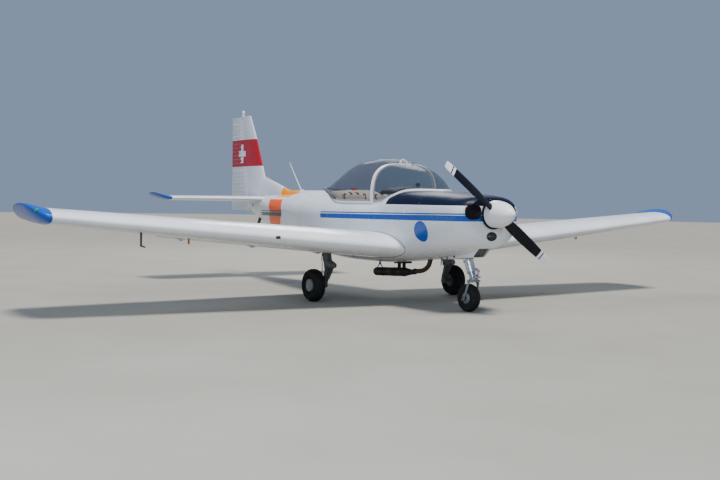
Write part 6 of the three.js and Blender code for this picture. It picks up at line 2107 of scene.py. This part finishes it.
def skin_lap(x, span, wide=0.014, proud=0.0009, steps=96):
    rows = []
    for i in range(steps + 1):
        a = lerp(*span, i / steps)
        rows.append([skin_point(x - wide / 2, a, -0.0005), skin_point(x + wide / 2, a, -0.0005),
            skin_point(x + wide / 2, a, proud), skin_point(x - wide / 2, a, proud)])
    return loft("lap", rows)


LAPS = [(-2.6, FULL_TURN), (-2.05, FULL_TURN), (-1.34, FULL_TURN), (-0.62, FULL_TURN), (0.1, UNDER_SILLS),
    (0.76, UNDER_SILLS), (2.13, FULL_TURN)]
laps = joined("skin_laps", [skin_lap(x, span) for x, span in LAPS])
dressed(laps, "white_paint", material=skin_paint, smooth=30)

# %% Rivets and cowl fasteners


def rivets(name, places, radius=0.0034, proud=0.0012):
    """Low domes, one on each pair of a place and the direction that points out of the skin."""
    bpy.ops.mesh.primitive_cone_add(vertices=8, radius1=radius, radius2=radius * 0.6, depth=proud * 2)
    heads = bpy.context.object
    heads.name = name
    corners = [vertex.co.copy() for vertex in heads.data.vertices]
    applied(heads, "ARRAY", count=len(places), use_relative_offset=False, use_constant_offset=True,
        constant_offset_displace=(0.02, 0, 0))
    for i, (place, out) in enumerate(places):
        turn = out.to_track_quat("Z", "Y")
        for k, corner in enumerate(corners):
            heads.data.vertices[i * len(corners) + k].co = place + turn @ corner
    return heads


def body_spot(x, angle):
    here = skin_point(x, angle)
    out = (skin_point(x + 0.01, angle) - here).cross(skin_point(x, angle + 0.02) - here).normalized()
    middle_height = frame_row(x)[3]
    return here, out if out.dot(here - xyz(x, 0, middle_height)) > 0 else -out


wing_places = []
for upper in (True, False):
    for chord_share in (0.24, 0.48, 0.7):
        wing_places += [wing_spot(y, chord_share, upper) for y in spaced(0.62, 4.62, 84)]
    for y in spaced(0.66, 4.62, 10):
        wing_places += [wing_spot(y, s, upper) for s in spaced(0.05, 0.68, 20)]
pair(rivets("wing_rivets", wing_places), "wing_rivets_{}", "white_paint")
body_places = [body_spot(x + step, lerp(*span, i / 88)) for x, span in LAPS for step in (-0.004, 0.004)
    for i in range(88)]
for angle in (0.15, pi - 0.15, -0.75, pi + 0.75):
    body_places += [body_spot(x, angle) for x in spaced(-2.85, -0.6, 60)]
dressed(rivets("body_rivets", body_places, 0.0028), "white_paint", material=skin_paint)
fasteners = [body_spot(2.622, tau * (i + 0.5) / 28) for i in range(28)]
for height in (SPLIT - 0.022, SPLIT + 0.022):
    fasteners += [(xyz(x, side * flank(x, height), height), xyz(0, side, 0)) for side in (1, -1)
        for x in spaced(2.7, 3.2, 7)]
dressed(rivets("cowl_fasteners", fasteners, 0.006, 0.001), "bright_steel", material=rim_grey)
print("rivets", len(wing_places) * 2 + len(body_places), "fasteners", len(fasteners))

# %% [markdown]
# ## Last steps
# The engine behind the inlets keeps the frame's own shape and only takes a paint.

# %% Engine behind the inlets
engine_paint = plain("engine_grey", rgb(0.17, 0.175, 0.18), rgb(0.1, 0.1, 0.105), 0.45, 0.5)
node_finish("engine_block", engine_paint)
